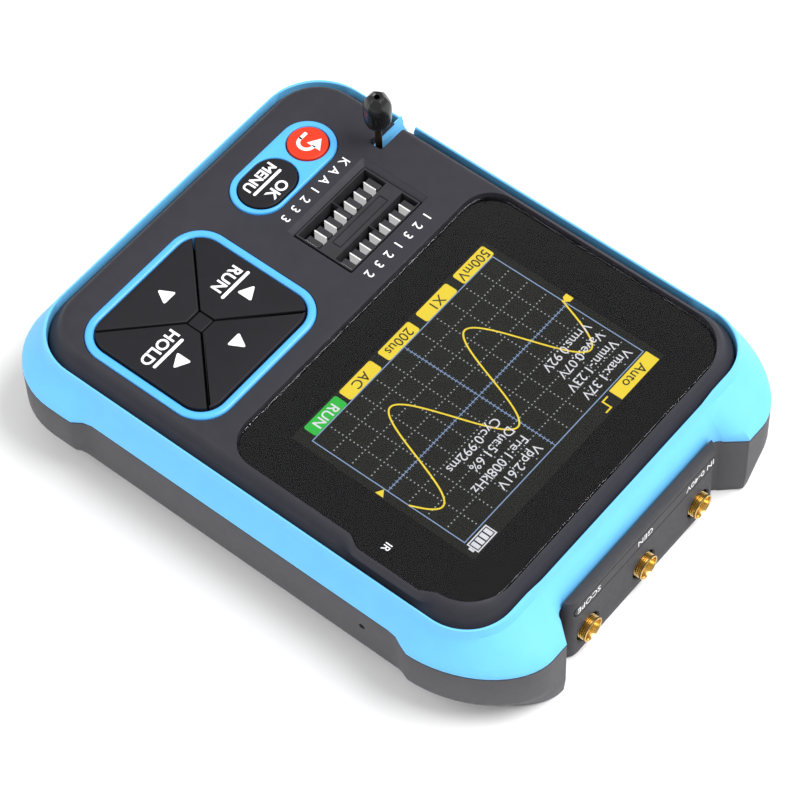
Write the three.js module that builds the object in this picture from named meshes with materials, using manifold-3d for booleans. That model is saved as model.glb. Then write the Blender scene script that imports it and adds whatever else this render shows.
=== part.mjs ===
// Handheld oscilloscope with a lever-operated component socket, in millimetres.
// The back lies on z = 0, +Z is up out of the display, +Y points to the connector end
// and +X is to the reader's right. The origin is the middle of the underside.
import * as THREE from "three";
import { mergeVertices } from "three/addons/utils/BufferGeometryUtils.js";
import Module from "manifold-3d";

const wasm = await Module();
wasm.setup();

// ---------------------------------------------------------------- driving dimensions
const SEAM = 0.3; // clearance between neighbouring pieces
// The front assembly is drawn about its own origin, from which FRONT_AT moves it to the case's.
const FRONT_AT = { y: 0.6, z: 1.35 };
const Z = {
  floor: 2, // inner face of the rear shell's floor
  rearRim: 14.2, // grey and blue meet
  bumperTop: 19, // blue and black meet, in the front assembly's own height
  shellUnder: 20.8, // underside of the front plate
  lensSeat: 21,
  lensTop: 22,
  face: 22.8, // flat front face
  keyTop: 23.4,
};
const CASE = { mid: 39, ear: 40.6, bottom: -53, top: 53, recess: 48.2 };
const FRONT = { half: 36.6, bottom: -49.5, top: 44.8, lowerR: 10.5, upperR: 9 };
const EAR_STEP = { lower: [-35.2, -32.2], upper: [30.3, 33.8] }; // where the sides swell at the corners
const EAR_BLEND = 1.7; // above 1 the swelling ends in a crease and runs softly into the side
const EAR_END = 24; // inner end of the swelling corners at the connector end
const RECESS_HALF = 19.9; // half-width of the cut for the connector panel
const RECESS_CORNER = [[21.4, 0.35], [20.6, 0.12], [19, 0]]; // x, and the share of the way up to the ears
const DISPLAY_Y = 16.3; // centre of the display
const LENS = { half: 33.2, bottom: -8.6, top: 42.1, lowerR: 5.5, upperR: 7.5, tab: 1.4 };
const LENS_TAB_Y = [17.8, 20.3, 31.8, 33.6]; // start and end of the tab's two steps
const WINDOW = { x: 26, y: 19.6 }; // half-size of the display opening
const LCD = { x: 29.9, y: 21.4 }; // half-size of the display module
const DPAD = { x: 17.5, y: -26.95, halfX: 15.5, halfY: 14.55, r: 5.5, ring: 1.5 };
const HUB = { halfX: 1.5, halfY: 1.45 };
const PILL = { x: -15.1, y: -36.95, half: 11.1, r: 5.05 };
const OK_KEY = { x: -10.75, y: -36.7, half: 5.5, r: 4 };
const BACK_KEY = { x: -21.3, y: -36.9, r: 3.5 };
const BEZEL_TOP = 23.2;
const BEZEL_UNDER = 19.7;
const KEY_GAP = 0.25;
const TRAVEL_GAP = 0.6; // space under a key's flange and a plunger
const FRONT_BOARD = { z0: 12.6, z1: 14, half: 29.2, bottom: -48, top: 42.2 };
const MAIN_BOARD = { z0: 7.6, z1: 9.2, half: 29.2, bottom: -48.4, top: 43.6 };
const SOCKET = { x0: -24.1, x1: -5.5, y0: -27, y1: -14.4 }; // opening in the front plate
const ZIF = { pitch: 2.54, columns: 7, midX: -13.7, rows: [-23.6, -16.1], slotX: 1.1, slotY: 2.4 };
const ZIF_BODY = { x0: -32, x1: -6, y0: -26.6, y1: -14.1, top: 19, wallX: 0.9, wallY: 1.3, floor: 15.1 };
const SLIDER = { x0: -27.1, x1: -8, y0: -25, y1: -16, z0: 16, z1: 18.6 };
const CAM = { offset: 0.5, r: 1.55, y0: -24.9, y1: -16.5 };
const LEVER = { x: -29.1, y: -27.95, z: 17.5, rod: 0.6, knobR: 2.42, knobZ0: 27.2, knobZ1: 34.7 };
const LEVER_SLOT = { x1: -28.1, y0: -29.3, y1: -26.6, floor: 14.9 };
const CHANNEL = { wall: 0.5, top: 20.5, y1: -27 }; // the bumper's lining of the lever slot
const JACK = { xs: [-14.5, 0.1, 14.7], z: 5, barrelR: 2.25, boreR: 1.8, face: 51.4, panelHoleR: 2.7 };
const PANEL = {
  half: 19.6,
  y0: 46.3,
  y1: 50.3,
  z0: 0.3,
  z1: 16.4,
  cornerR: 2.2,
  ledgeY: 48.7, // above the rear shell's rim the panel is only a ledge
  flange: { half: 22.4, y0: 44, y1: 45.3, z0: 3.2, z1: 13.9 },
};
const SCREWS = [[-32.6, -43], [32.6, -43], [-32.6, 38], [32.6, 38]];
const BOARD_SCREWS = [[-1.3, -25], [9, -45.6], [0, 40.9]];
const PINHOLE = { y: 24.3, z: 10, r: 0.6 };
const USB = { z: 10.87, halfX: 4.47, halfZ: 1.63, y0: -52.4, y1: -45.1 };
const IR = { x: 31.9, y: 19 };

// ---------------------------------------------------------------- shape helpers
function solid(geometry) {
  const bare = geometry.clone();
  bare.deleteAttribute("normal");
  bare.deleteAttribute("uv");
  const merged = mergeVertices(bare, 1e-4);
  return new wasm.Manifold(
    new wasm.Mesh({
      numProp: 3,
      vertProperties: merged.getAttribute("position").array,
      triVerts: new Uint32Array(merged.index.array),
    }),
  );
}

function geometryOf(manifold) {
  const mesh = manifold.getMesh();
  const geometry = new THREE.BufferGeometry();
  geometry.setAttribute("position", new THREE.BufferAttribute(new Float32Array(mesh.vertProperties), 3));
  geometry.setIndex(new THREE.BufferAttribute(new Uint32Array(mesh.triVerts), 1));
  geometry.computeVertexNormals();
  return geometry;
}

function box(x0, x1, y0, y1, z0, z1) {
  const geometry = new THREE.BoxGeometry(x1 - x0, y1 - y0, z1 - z0);
  return solid(geometry.translate((x0 + x1) / 2, (y0 + y1) / 2, (z0 + z1) / 2));
}

// A lathe about Z at (x, y); the profile is [radius, z] from the axis round to the axis.
function turned(x, y, profile, segments = 16) {
  const points = profile.map(([r, z]) => new THREE.Vector2(r, z));
  const geometry = new THREE.LatheGeometry(points, segments);
  return solid(geometry.rotateX(Math.PI / 2).translate(x, y, 0));
}

function cylinder(x, y, r, z0, z1, segments = 16) {
  return turned(x, y, [[0, z0], [r, z0], [r, z1], [0, z1]], segments);
}

function cylinderAlongY(x, z, r, y0, y1, segments = 16) {
  const geometry = new THREE.CylinderGeometry(r, r, y1 - y0, segments);
  return solid(geometry.translate(x, (y0 + y1) / 2, z));
}

function plate(shape, z0, z1, curveSegments = 5) {
  const geometry = new THREE.ExtrudeGeometry(shape, { depth: z1 - z0, bevelEnabled: false, curveSegments });
  return solid(geometry.translate(0, 0, z0));
}

// An extrusion whose top edge is chamfered by c.
function chamferedPlate(shape, z0, z1, c, curveSegments = 5) {
  const settings = { depth: z1 - z0 - 2 * c, bevelEnabled: true, bevelThickness: c, bevelSize: c };
  const geometry = new THREE.ExtrudeGeometry(shape, {
    ...settings,
    bevelOffset: -c,
    bevelSegments: 1,
    curveSegments,
  });
  return solid(geometry.translate(0, 0, z0 + c));
}

function roundedRect(x0, x1, y0, y1, lowerR, upperR = lowerR) {
  const shape = new THREE.Shape();
  shape.moveTo(x0 + lowerR, y0);
  shape.lineTo(x1 - lowerR, y0);
  shape.absarc(x1 - lowerR, y0 + lowerR, lowerR, -Math.PI / 2, 0);
  shape.lineTo(x1, y1 - upperR);
  shape.absarc(x1 - upperR, y1 - upperR, upperR, 0, Math.PI / 2);
  shape.lineTo(x0 + upperR, y1);
  shape.absarc(x0 + upperR, y1 - upperR, upperR, Math.PI / 2, Math.PI);
  shape.lineTo(x0, y0 + lowerR);
  shape.absarc(x0 + lowerR, y0 + lowerR, lowerR, Math.PI, Math.PI * 1.5);
  return shape;
}

function centredRect(c, grow) {
  const x = c.halfX + grow;
  const y = c.halfY + grow;
  return roundedRect(c.x - x, c.x + x, c.y - y, c.y + y, Math.max(c.r + grow, 0.3));
}

function stadium(c, grow) {
  const r = c.r + grow;
  const run = c.half - c.r;
  const shape = new THREE.Shape();
  shape.moveTo(c.x - run, c.y - r);
  shape.lineTo(c.x + run, c.y - r);
  shape.absarc(c.x + run, c.y, r, -Math.PI / 2, Math.PI / 2);
  shape.lineTo(c.x - run, c.y + r);
  shape.absarc(c.x - run, c.y, r, Math.PI / 2, Math.PI * 1.5);
  return shape;
}

// A solid through a stack of rings, [outline, z] each, all with the same number of points.
function loft(rings) {
  const count = rings[0][0].length;
  const positions = rings.flatMap(([outline, z]) => outline.flatMap((p) => [p.x, p.y, z]));
  const index = [];
  for (let level = 0; level + 1 < rings.length; level += 1) {
    for (let i = 0; i < count; i += 1) {
      const a = level * count + i;
      const b = level * count + ((i + 1) % count);
      index.push(a, b, b + count, a, b + count, a + count);
    }
  }
  const last = (rings.length - 1) * count;
  for (const [a, b, c] of THREE.ShapeUtils.triangulateShape(rings[0][0], [])) index.push(c, b, a);
  for (const [a, b, c] of THREE.ShapeUtils.triangulateShape(rings[rings.length - 1][0], [])) {
    index.push(last + a, last + b, last + c);
  }
  const geometry = new THREE.BufferGeometry();
  geometry.setAttribute("position", new THREE.Float32BufferAttribute(positions, 3));
  geometry.setIndex(index);
  return solid(geometry);
}

// The case seen from above: round lower corners, sides that swell at the corners, and a
// connector recess between the raised corners of the upper end.
function caseOutline({ mid, ear, bottom, top, recess, lowerR, upperX, upperY, power }) {
  const right = [];
  for (let i = 0; i <= 6; i += 1) {
    const a = ((i / 6 - 1) * Math.PI) / 2;
    right.push([ear - lowerR + lowerR * Math.cos(a), bottom + lowerR + lowerR * Math.sin(a)]);
  }
  const step = ([start, end], swelling) => {
    for (let i = 0; i <= 3; i += 1) {
      const t = i / 3;
      right.push([mid + (ear - mid) * swelling(t) ** EAR_BLEND, start + (end - start) * t]);
    }
  };
  step(EAR_STEP.lower, (t) => 1 - t);
  step(EAR_STEP.upper, (t) => t);
  for (let i = 0; i <= 8; i += 1) {
    const a = ((i / 8) * Math.PI) / 2;
    const x = ear - upperX + upperX * Math.abs(Math.cos(a)) ** power;
    right.push([x, top - upperY + upperY * Math.sin(a) ** power]);
  }
  right.push([EAR_END, top]);
  for (const [x, rise] of RECESS_CORNER) right.push([x, recess + (top - recess) * rise]);
  const left = right.map(([x, y]) => [-x, y]).reverse();
  return [...right, ...left].map(([x, y]) => new THREE.Vector2(x, y));
}

const bodyRing = (changes) =>
  caseOutline({ ...CASE, lowerR: 13, upperX: 13, upperY: 18.5, power: 1.1, ...changes });

function frontRing(inset) {
  const half = FRONT.half - inset;
  const top = FRONT.top - inset;
  const upper = FRONT.upperR - inset;
  return caseOutline({
    mid: half,
    ear: half,
    bottom: FRONT.bottom + inset,
    top,
    recess: top,
    lowerR: FRONT.lowerR - inset,
    upperX: upper,
    upperY: upper,
    power: 1,
  });
}

function lensShape(grow) {
  const half = LENS.half + grow;
  const y0 = LENS.bottom - grow;
  const y1 = LENS.top + grow;
  const low = LENS.lowerR + grow;
  const high = LENS.upperR + grow;
  const shape = new THREE.Shape();
  shape.moveTo(-half + low, y0);
  shape.lineTo(half - low, y0);
  shape.absarc(half - low, y0 + low, low, -Math.PI / 2, 0);
  shape.lineTo(half, LENS_TAB_Y[0] - grow);
  shape.lineTo(half + LENS.tab, LENS_TAB_Y[1] - grow);
  shape.lineTo(half + LENS.tab, LENS_TAB_Y[2] + grow);
  shape.lineTo(half, LENS_TAB_Y[3] + grow);
  shape.absarc(half - high, y1 - high, high, 0, Math.PI / 2);
  shape.lineTo(-half + high, y1);
  shape.absarc(-half + high, y1 - high, high, Math.PI / 2, Math.PI);
  shape.lineTo(-half, y0 + low);
  shape.absarc(-half + low, y0 + low, low, Math.PI, Math.PI * 1.5);
  return shape;
}

// ---------------------------------------------------------------- the assembly
const device = new THREE.Group();
const front = new THREE.Group();
front.position.set(0, FRONT_AT.y, FRONT_AT.z);
device.add(front);
const onFront = ([x, y]) => [x, y - FRONT_AT.y]; // a place on the case, from the front assembly's origin

const FINISH = {
  blackPlastic: { color: 0x3a393e, roughness: 0.75, metalness: 0 },
  greyPlastic: { color: 0x5c5d60, roughness: 0.7, metalness: 0 },
  blueRubber: { color: 0x6cc4f5, roughness: 0.55, metalness: 0 },
  darkWindow: { color: 0x1d1c20, roughness: 0.12, metalness: 0 },
  keyPlastic: { color: 0x26252a, roughness: 0.6, metalness: 0 },
  redPlastic: { color: 0xe23c1c, roughness: 0.5, metalness: 0 },
  socketGrey: { color: 0x77777a, roughness: 0.6, metalness: 0 },
  gold: { color: 0xd9a441, roughness: 0.3, metalness: 1 },
  white: { color: 0xe8e6df, roughness: 0.6, metalness: 0 },
  steel: { color: 0x9a958a, roughness: 0.35, metalness: 1 },
  board: { color: 0x1d5a35, roughness: 0.5, metalness: 0 },
  glass: { color: 0x222320, roughness: 0.1, metalness: 0 },
  foil: { color: 0xb8bcc2, roughness: 0.4, metalness: 0.3 },
};

function add(name, manifold, finish, group = device) {
  const mesh = new THREE.Mesh(geometryOf(manifold), new THREE.MeshStandardMaterial(FINISH[finish]));
  mesh.name = name;
  group.add(mesh);
}
const addFront = (name, manifold, finish) => add(name, manifold, finish, front);

const leverSlot = (x0, z0) => box(x0, LEVER_SLOT.x1, LEVER_SLOT.y0, LEVER_SLOT.y1, z0, 30);

// ---- rear shell: chamfered underside, screw posts, openings for panel, charging and reset
function rearShell() {
  const chamferY = -49.3;
  let shell = loft([
    [bodyRing({ mid: 35.3, ear: 35.3, bottom: chamferY, top: 52.4, upperX: 11 }), 0],
    [bodyRing({ mid: 36.1, ear: 36.1, bottom: chamferY - 0.8, top: 52.9, upperX: 11.5 }), 1],
    [bodyRing({ mid: CASE.mid, ear: CASE.mid }), 4.4],
    [bodyRing({}), 6.3],
    [bodyRing({}), Z.rearRim],
  ]);
  const cavityTop = Z.rearRim + 1;
  const cavityRing = (half, bottom) => roundedRect(-half, half, bottom, 46, 9, 9);
  shell = shell.subtract(plate(cavityRing(35, -48.4), Z.floor, cavityTop));
  shell = shell.subtract(plate(cavityRing(36.9, -50.6), 5.5, cavityTop));
  for (const [x, y] of SCREWS) {
    shell = shell.add(cylinder(x, y, 3.2, 1, 13.9, 12));
  }
  for (const [x, y] of SCREWS) {
    shell = shell.subtract(cylinder(x, y, 1.15, -1, 20, 12));
    shell = shell.subtract(cylinder(x, y, 2.2, -1, 6, 12));
  }
  shell = shell.subtract(box(-RECESS_HALF, RECESS_HALF, 45.5, 60, -1, 20));
  const usbHole = { x: 0, y: 0, half: USB.halfX + SEAM, r: USB.halfZ + SEAM };
  const portGeometry = new THREE.ExtrudeGeometry(stadium(usbHole, 0), { depth: 8, bevelEnabled: false, curveSegments: 5 });
  shell = shell.subtract(solid(portGeometry.rotateX(Math.PI / 2).translate(0, -47, USB.z)));
  const reset = new THREE.CylinderGeometry(PINHOLE.r, PINHOLE.r, 10, 10);
  return shell.subtract(solid(reset.rotateZ(Math.PI / 2).translate(39, PINHOLE.y, PINHOLE.z)));
}
add("rear_shell", rearShell(), "greyPlastic");

// ---- blue bumper: a rounded band between the shells, notched for the lever and lining its slot
function bumperFrame() {
  const ring = (t, changes) => {
    const mix = (outer, inner) => outer + (inner - outer) * t;
    return caseOutline({
      mid: mix(CASE.mid, FRONT.half + SEAM),
      ear: mix(CASE.ear, FRONT.half + SEAM),
      bottom: mix(CASE.bottom, FRONT.bottom + FRONT_AT.y - SEAM),
      top: mix(CASE.top, FRONT.top + FRONT_AT.y + SEAM),
      recess: mix(CASE.recess, FRONT.top + FRONT_AT.y + SEAM),
      lowerR: mix(13, FRONT.lowerR),
      upperX: mix(13, FRONT.upperR),
      upperY: mix(18.5, FRONT.upperR),
      power: mix(1.1, 1),
      ...changes,
    });
  };
  let band = loft([
    [ring(0), Z.rearRim + 0.15],
    [ring(0.12, { recess: CASE.recess }), 15.7],
    [ring(0.42, { recess: 47.7 }), 17.8],
    [ring(0.74, { recess: 46.8 }), 19.5],
    [ring(1), Z.bumperTop + FRONT_AT.z],
  ]);
  const inside = loft([[frontRing(0.1), 10], [frontRing(0.1), 25]]).translate([0, FRONT_AT.y, 0]);
  const { wall, top, y1 } = CHANNEL;
  const channel = box(-37.2, LEVER_SLOT.x1 + wall, LEVER_SLOT.y0 - wall, y1, LEVER_SLOT.floor - wall, top);
  const lining = channel.subtract(leverSlot(-60, LEVER_SLOT.floor)).translate([0, FRONT_AT.y, FRONT_AT.z]);
  const notch = leverSlot(-60, LEVER_SLOT.floor).translate([0, FRONT_AT.y, FRONT_AT.z]);
  return band.subtract(inside).add(lining).subtract(notch);
}
add("bumper_frame", bumperFrame(), "blueRubber");

// ---- front shell: stepped edge, window seat, key and socket openings, screw posts
function frontShell() {
  let shell = loft([
    [frontRing(0.4), Z.rearRim + 0.4],
    [frontRing(0.4), 19.3],
    [frontRing(1.1), 20.3],
    [frontRing(1.9), 22.3],
    [frontRing(2.4), Z.face],
  ]);
  const rim = [[33, 17.2], [36.1, 19.6], [36.1, 33.2], [33, 35.6]].map(([x, y]) => new THREE.Vector2(x, y));
  const rimTop = rim.map((p) => new THREE.Vector2(p.x > 34 ? p.x - 0.5 : p.x, p.y));
  shell = shell.add(loft([[rim, 19.6], [rim, 21.6], [rimTop, Z.face]]));
  shell = shell.subtract(loft([[frontRing(2.4), 10], [frontRing(2.4), Z.shellUnder]]));
  for (const [x, y] of SCREWS.map(onFront)) {
    shell = shell.add(cylinder(x, y, 2.2, 13, 21, 12));
    shell = shell.subtract(cylinder(x, y, 0.9, 10, 20, 12));
  }
  for (const [x, y] of BOARD_SCREWS.map(onFront)) {
    shell = shell.add(cylinder(x, y, 2, FRONT_BOARD.z1 + 0.1, 21, 12));
    shell = shell.subtract(cylinder(x, y, 0.9, 10, 20, 12));
  }
  const y0 = DISPLAY_Y - WINDOW.y;
  const y1 = DISPLAY_Y + WINDOW.y;
  shell = shell.subtract(plate(lensShape(0.35), Z.lensSeat, 30));
  shell = shell.subtract(plate(roundedRect(-WINDOW.x, WINDOW.x, y0, y1, 1), 15, 30, 2));
  shell = shell.subtract(cylinder(IR.x, IR.y, 1.4, 15, 30, 10));
  shell = shell.subtract(plate(centredRect(DPAD, 0.2), 15, 30));
  shell = shell.subtract(plate(stadium(PILL, 0.2), 15, 30, 8));
  shell = shell.subtract(plate(roundedRect(SOCKET.x0, SOCKET.x1, SOCKET.y0, SOCKET.y1, 0.4), 15, 30, 2));
  const wide = roundedRect(SOCKET.x0 - 1, SOCKET.x1 + 0.3, SOCKET.y0 - 0.3, SOCKET.y1 + 0.1, 0.4).getPoints(2);
  const tight = roundedRect(SOCKET.x0, SOCKET.x1, SOCKET.y0, SOCKET.y1, 0.4).getPoints(2);
  shell = shell.subtract(loft([[tight.slice(0, -1), 22], [wide.slice(0, -1), 23]]));
  const lining = box(-60, LEVER_SLOT.x1 + 0.9, LEVER_SLOT.y0 - 0.9, LEVER_SLOT.y1, 10, Z.shellUnder);
  return shell.subtract(leverSlot(-60, 14)).subtract(lining);
}
addFront("front_shell", frontShell(), "blackPlastic");

// ---- display stack
addFront("display_lens", plate(lensShape(0), Z.lensSeat + 0.1, Z.lensTop), "darkWindow");
const lcdY = [DISPLAY_Y - LCD.y, DISPLAY_Y + LCD.y];
addFront("lcd_panel", box(-LCD.x, LCD.x, ...lcdY, 18.9, 20.7), "glass");
addFront("lcd_backlight", box(-LCD.x, LCD.x, ...lcdY, 17.4, 18.8), "foil");
const carrierHole = box(-LCD.x + 2, LCD.x - 2, lcdY[0] + 2, lcdY[1] - 2, 10, 20);
addFront("lcd_carrier", box(-LCD.x, LCD.x, ...lcdY, 14.1, 17.3).subtract(carrierHole), "blackPlastic");

// ---- bezels, both held under the front plate by a flange
function bezel(outer, inner) {
  const ring = chamferedPlate(outer(0), BEZEL_UNDER, BEZEL_TOP, 0.4);
  const flange = plate(outer(0.9), BEZEL_UNDER, Z.shellUnder - 0.1);
  return inner.reduce((piece, opening) => piece.subtract(plate(opening, 15, 30)), ring.add(flange));
}
const dpadOuter = (grow) => centredRect(DPAD, grow - 0.05);
const pillOuter = (grow) => stadium(PILL, grow - 0.05);
const roundKey = (grow) => {
  const shape = new THREE.Shape();
  return shape.absarc(BACK_KEY.x, BACK_KEY.y, BACK_KEY.r + grow, 0, Math.PI * 2);
};
addFront("dpad_bezel", bezel(dpadOuter, [centredRect(DPAD, -DPAD.ring)]), "blueRubber");
addFront("key_bezel", bezel(pillOuter, [stadium(OK_KEY, KEY_GAP), roundKey(KEY_GAP)]), "blueRubber");
const hubShape = roundedRect(
  DPAD.x - HUB.halfX,
  DPAD.x + HUB.halfX,
  DPAD.y - HUB.halfY,
  DPAD.y + HUB.halfY,
  0.3,
);
addFront("dpad_hub", plate(hubShape, FRONT_BOARD.z1 + 0.05, BEZEL_TOP, 2), "keyPlastic");

// ---- keys: a cap through the bezel, a retaining flange below it and a stem to the switch
const FLANGE = { z0: 18.9, z1: BEZEL_UNDER - 0.2 };
const STEM_BOTTOM = 18.7;
const SWITCH = { half: 3, top: 17.4, plungerR: 1.75, plungerBottom: 16.9 };

function dpadQuadrant(direction) {
  const far = 40;
  const gap = 0.2;
  const across = new THREE.Vector2(-direction.y, direction.x);
  const point = (along, side) =>
    new THREE.Vector2(
      DPAD.x + direction.x * along + across.x * side,
      DPAD.y + direction.y * along + across.y * side,
    );
  const start = HUB.halfX + KEY_GAP;
  const wedge = new THREE.Shape([
    point(start, -start + gap),
    point(far, -far + gap),
    point(far, far - gap),
    point(start, start - gap),
  ]);
  return plate(wedge, 10, 40);
}

function switchSet(name, x, y) {
  const { half, top, plungerR, plungerBottom } = SWITCH;
  const pocket = cylinder(x, y, plungerR + 0.15, plungerBottom - TRAVEL_GAP, 30, 12);
  const body = box(x - half, x + half, y - half, y + half, FRONT_BOARD.z1, top);
  addFront("tact_switch_" + name, body.subtract(pocket), "foil");
  addFront("tact_plunger_" + name, cylinder(x, y, plungerR, plungerBottom, STEM_BOTTOM, 12), "keyPlastic");
}

function key(name, cap, flange, x, y, finish) {
  const stem = cylinder(x, y, 1.6, STEM_BOTTOM, FLANGE.z1, 12);
  addFront(name, cap.add(flange).add(stem), finish);
}

const DIRECTIONS = { up: [0, 1], down: [0, -1], left: [-1, 0], right: [1, 0] };
const SWITCH_OFFSET = 8.7;
for (const [name, [dx, dy]] of Object.entries(DIRECTIONS)) {
  const quadrant = dpadQuadrant(new THREE.Vector2(dx, dy));
  const cap = chamferedPlate(centredRect(DPAD, -DPAD.ring - KEY_GAP), FLANGE.z0, Z.keyTop, 0.3);
  const flange = plate(centredRect(DPAD, -DPAD.ring + 0.6), FLANGE.z0, FLANGE.z1);
  const x = DPAD.x + dx * SWITCH_OFFSET;
  const y = DPAD.y + dy * SWITCH_OFFSET;
  key("key_" + name, cap.intersect(quadrant), flange.intersect(quadrant), x, y, "keyPlastic");
  switchSet(name, x, y);
}

const okCap = chamferedPlate(stadium(OK_KEY, 0), FLANGE.z0, Z.keyTop, 0.3);
key("ok_menu_key", okCap, plate(stadium(OK_KEY, 0.5), FLANGE.z0, FLANGE.z1), OK_KEY.x, OK_KEY.y, "keyPlastic");
switchSet("ok_menu", OK_KEY.x, OK_KEY.y);
const backCap = chamferedPlate(roundKey(0), FLANGE.z0, Z.keyTop, 0.3, 10);
const backFlange = plate(roundKey(0.5), FLANGE.z0, FLANGE.z1, 10);
key("back_key", backCap, backFlange, BACK_KEY.x, BACK_KEY.y, "redPlastic");
switchSet("back", BACK_KEY.x, BACK_KEY.y);

// ---- component socket: base with the cam bore, sliding clamp plate and slotted cover
function zifBase() {
  const b = ZIF_BODY;
  const base = box(b.x0, b.x1, b.y0, b.y1, FRONT_BOARD.z1 + 0.1, b.top);
  const pocket = box(b.x0 + b.wallX, b.x1 - b.wallX, b.y0 + b.wallY, b.y1 - b.wallY, b.floor, b.top + 1);
  const bore = cylinderAlongY(LEVER.x, LEVER.z, LEVER.rod + 0.2, b.y0 - 3, b.y1 + 3, 12);
  return base.subtract(pocket).subtract(bore);
}
addFront("zif_base", zifBase(), "socketGrey");

function zifCover() {
  const { x0, x1, y0, y1 } = SOCKET;
  let cover = box(x0 + SEAM, x1 - SEAM, y0 + SEAM, y1 - SEAM, 19.2, Z.face);
  for (const y of ZIF.rows) {
    for (let i = 0; i < ZIF.columns; i += 1) {
      const x = ZIF.midX + ZIF.pitch * (i - (ZIF.columns - 1) / 2);
      const [dx, dy] = [ZIF.slotX / 2, ZIF.slotY / 2];
      cover = cover.subtract(box(x - dx, x + dx, y - dy, y + dy, 19, 25));
    }
  }
  return cover;
}
addFront("zif_cover", zifCover(), "socketGrey");
const slider = box(SLIDER.x0, SLIDER.x1, SLIDER.y0, SLIDER.y1, SLIDER.z0, SLIDER.z1);
const sliderSlot = (y) => box(SLIDER.x0 + 3, SLIDER.x1 - 1, y - 1, y + 1, 10, 30);
addFront("zif_slider", slider.subtract(sliderSlot(ZIF.rows[0])).subtract(sliderSlot(-18.2)), "white");

// ---- lever: bent rod through the base, eccentric cam on it, barrel knob on its upright end
const bend = 1.1;
const route = new THREE.CurvePath();
const elbow = new THREE.Vector3(LEVER.x, LEVER.y, LEVER.z);
const shaftEnd = new THREE.Vector3(LEVER.x, ZIF_BODY.y1 - 0.5, LEVER.z);
const alongShaft = new THREE.Vector3(LEVER.x, LEVER.y + bend, LEVER.z);
const upRod = new THREE.Vector3(LEVER.x, LEVER.y, LEVER.z + bend);
const rodTop = new THREE.Vector3(LEVER.x, LEVER.y, LEVER.knobZ1 - 2);
route.add(new THREE.LineCurve3(shaftEnd, alongShaft));
route.add(new THREE.QuadraticBezierCurve3(alongShaft, elbow, upRod));
route.add(new THREE.LineCurve3(upRod, rodTop));
const rodSection = new THREE.Shape();
rodSection.absarc(0, 0, LEVER.rod, 0, Math.PI * 2);
const rodGeometry = new THREE.ExtrudeGeometry(rodSection, {
  steps: 24,
  extrudePath: route,
  curveSegments: 4,
  bevelEnabled: false,
});
addFront("zif_lever_rod", solid(rodGeometry), "steel");

const rodClearance = LEVER.rod + 0.08;
const knobBore = cylinder(LEVER.x, LEVER.y, rodClearance, 0, LEVER.knobZ1 - 1.9, 12);
const knobProfile = [
  [0, LEVER.knobZ0],
  [1.2, LEVER.knobZ0],
  [LEVER.knobR, LEVER.knobZ0 + 1.5],
  [LEVER.knobR, LEVER.knobZ1 - 1.6],
  [LEVER.knobR - 1.2, LEVER.knobZ1],
  [0, LEVER.knobZ1],
];
addFront("zif_lever_knob", turned(LEVER.x, LEVER.y, knobProfile, 16).subtract(knobBore), "keyPlastic");
const camBody = cylinderAlongY(LEVER.x, LEVER.z - CAM.offset, CAM.r, CAM.y0, CAM.y1, 16);
const camBore = cylinderAlongY(LEVER.x, LEVER.z, rodClearance, -30, -10, 12);
addFront("zif_cam", camBody.subtract(camBore), "white");

// ---- boards and what they carry
function board(b, screws, holeR) {
  const blank = box(-b.half, b.half, b.bottom, b.top, b.z0, b.z1);
  return screws.reduce((piece, [x, y]) => piece.subtract(cylinder(x, y, holeR, 0, 30, 10)), blank);
}
addFront("front_board", board(FRONT_BOARD, BOARD_SCREWS.map(onFront), 1.2), "board");
add("main_board", board(MAIN_BOARD, BOARD_SCREWS, 2.2), "board");
const connectorTop = FRONT_BOARD.z0 + FRONT_AT.z - 0.05;
add("board_connector", box(6, 26, 33, 38, MAIN_BOARD.z1 + 0.05, connectorTop), "keyPlastic");
add("battery", chamferedPlate(roundedRect(-25, 25, -38, -4, 2), Z.floor + 0.4, 7.2, 0.8, 3), "foil");
addFront("ir_receiver", box(30.6, 33.4, IR.y - 2.5, IR.y + 2.5, 15.2, 20), "darkWindow");
const resetBody = box(26.5, 29.8, PINHOLE.y - 2, PINHOLE.y + 2, MAIN_BOARD.z1, 10.9);
const resetButton = box(29.7, 30.9, PINHOLE.y - 0.8, PINHOLE.y + 0.8, 9.6, 10.4);
add("reset_switch", resetBody.add(resetButton), "foil");

function alongY(shape, y0, y1, z) {
  const geometry = new THREE.ExtrudeGeometry(shape, { depth: y1 - y0, bevelEnabled: false, curveSegments: 4 });
  return solid(geometry.rotateX(Math.PI / 2).translate(0, y1, z));
}
const usbSection = { x: 0, y: 0, half: USB.halfX, r: USB.halfZ };
const usbShell = alongY(stadium(usbSection, 0), USB.y0, USB.y1, USB.z);
const usbMouth = alongY(stadium(usbSection, -0.3), USB.y0 - 1, USB.y1 - 1, USB.z);
add("usb_c_shell", usbShell.subtract(usbMouth), "steel");
const tongueShape = roundedRect(-3.3, 3.3, -0.35, 0.35, 0.2);
add("usb_c_tongue", alongY(tongueShape, USB.y0 + 0.9, USB.y1 - 1.05, USB.z), "keyPlastic");

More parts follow.
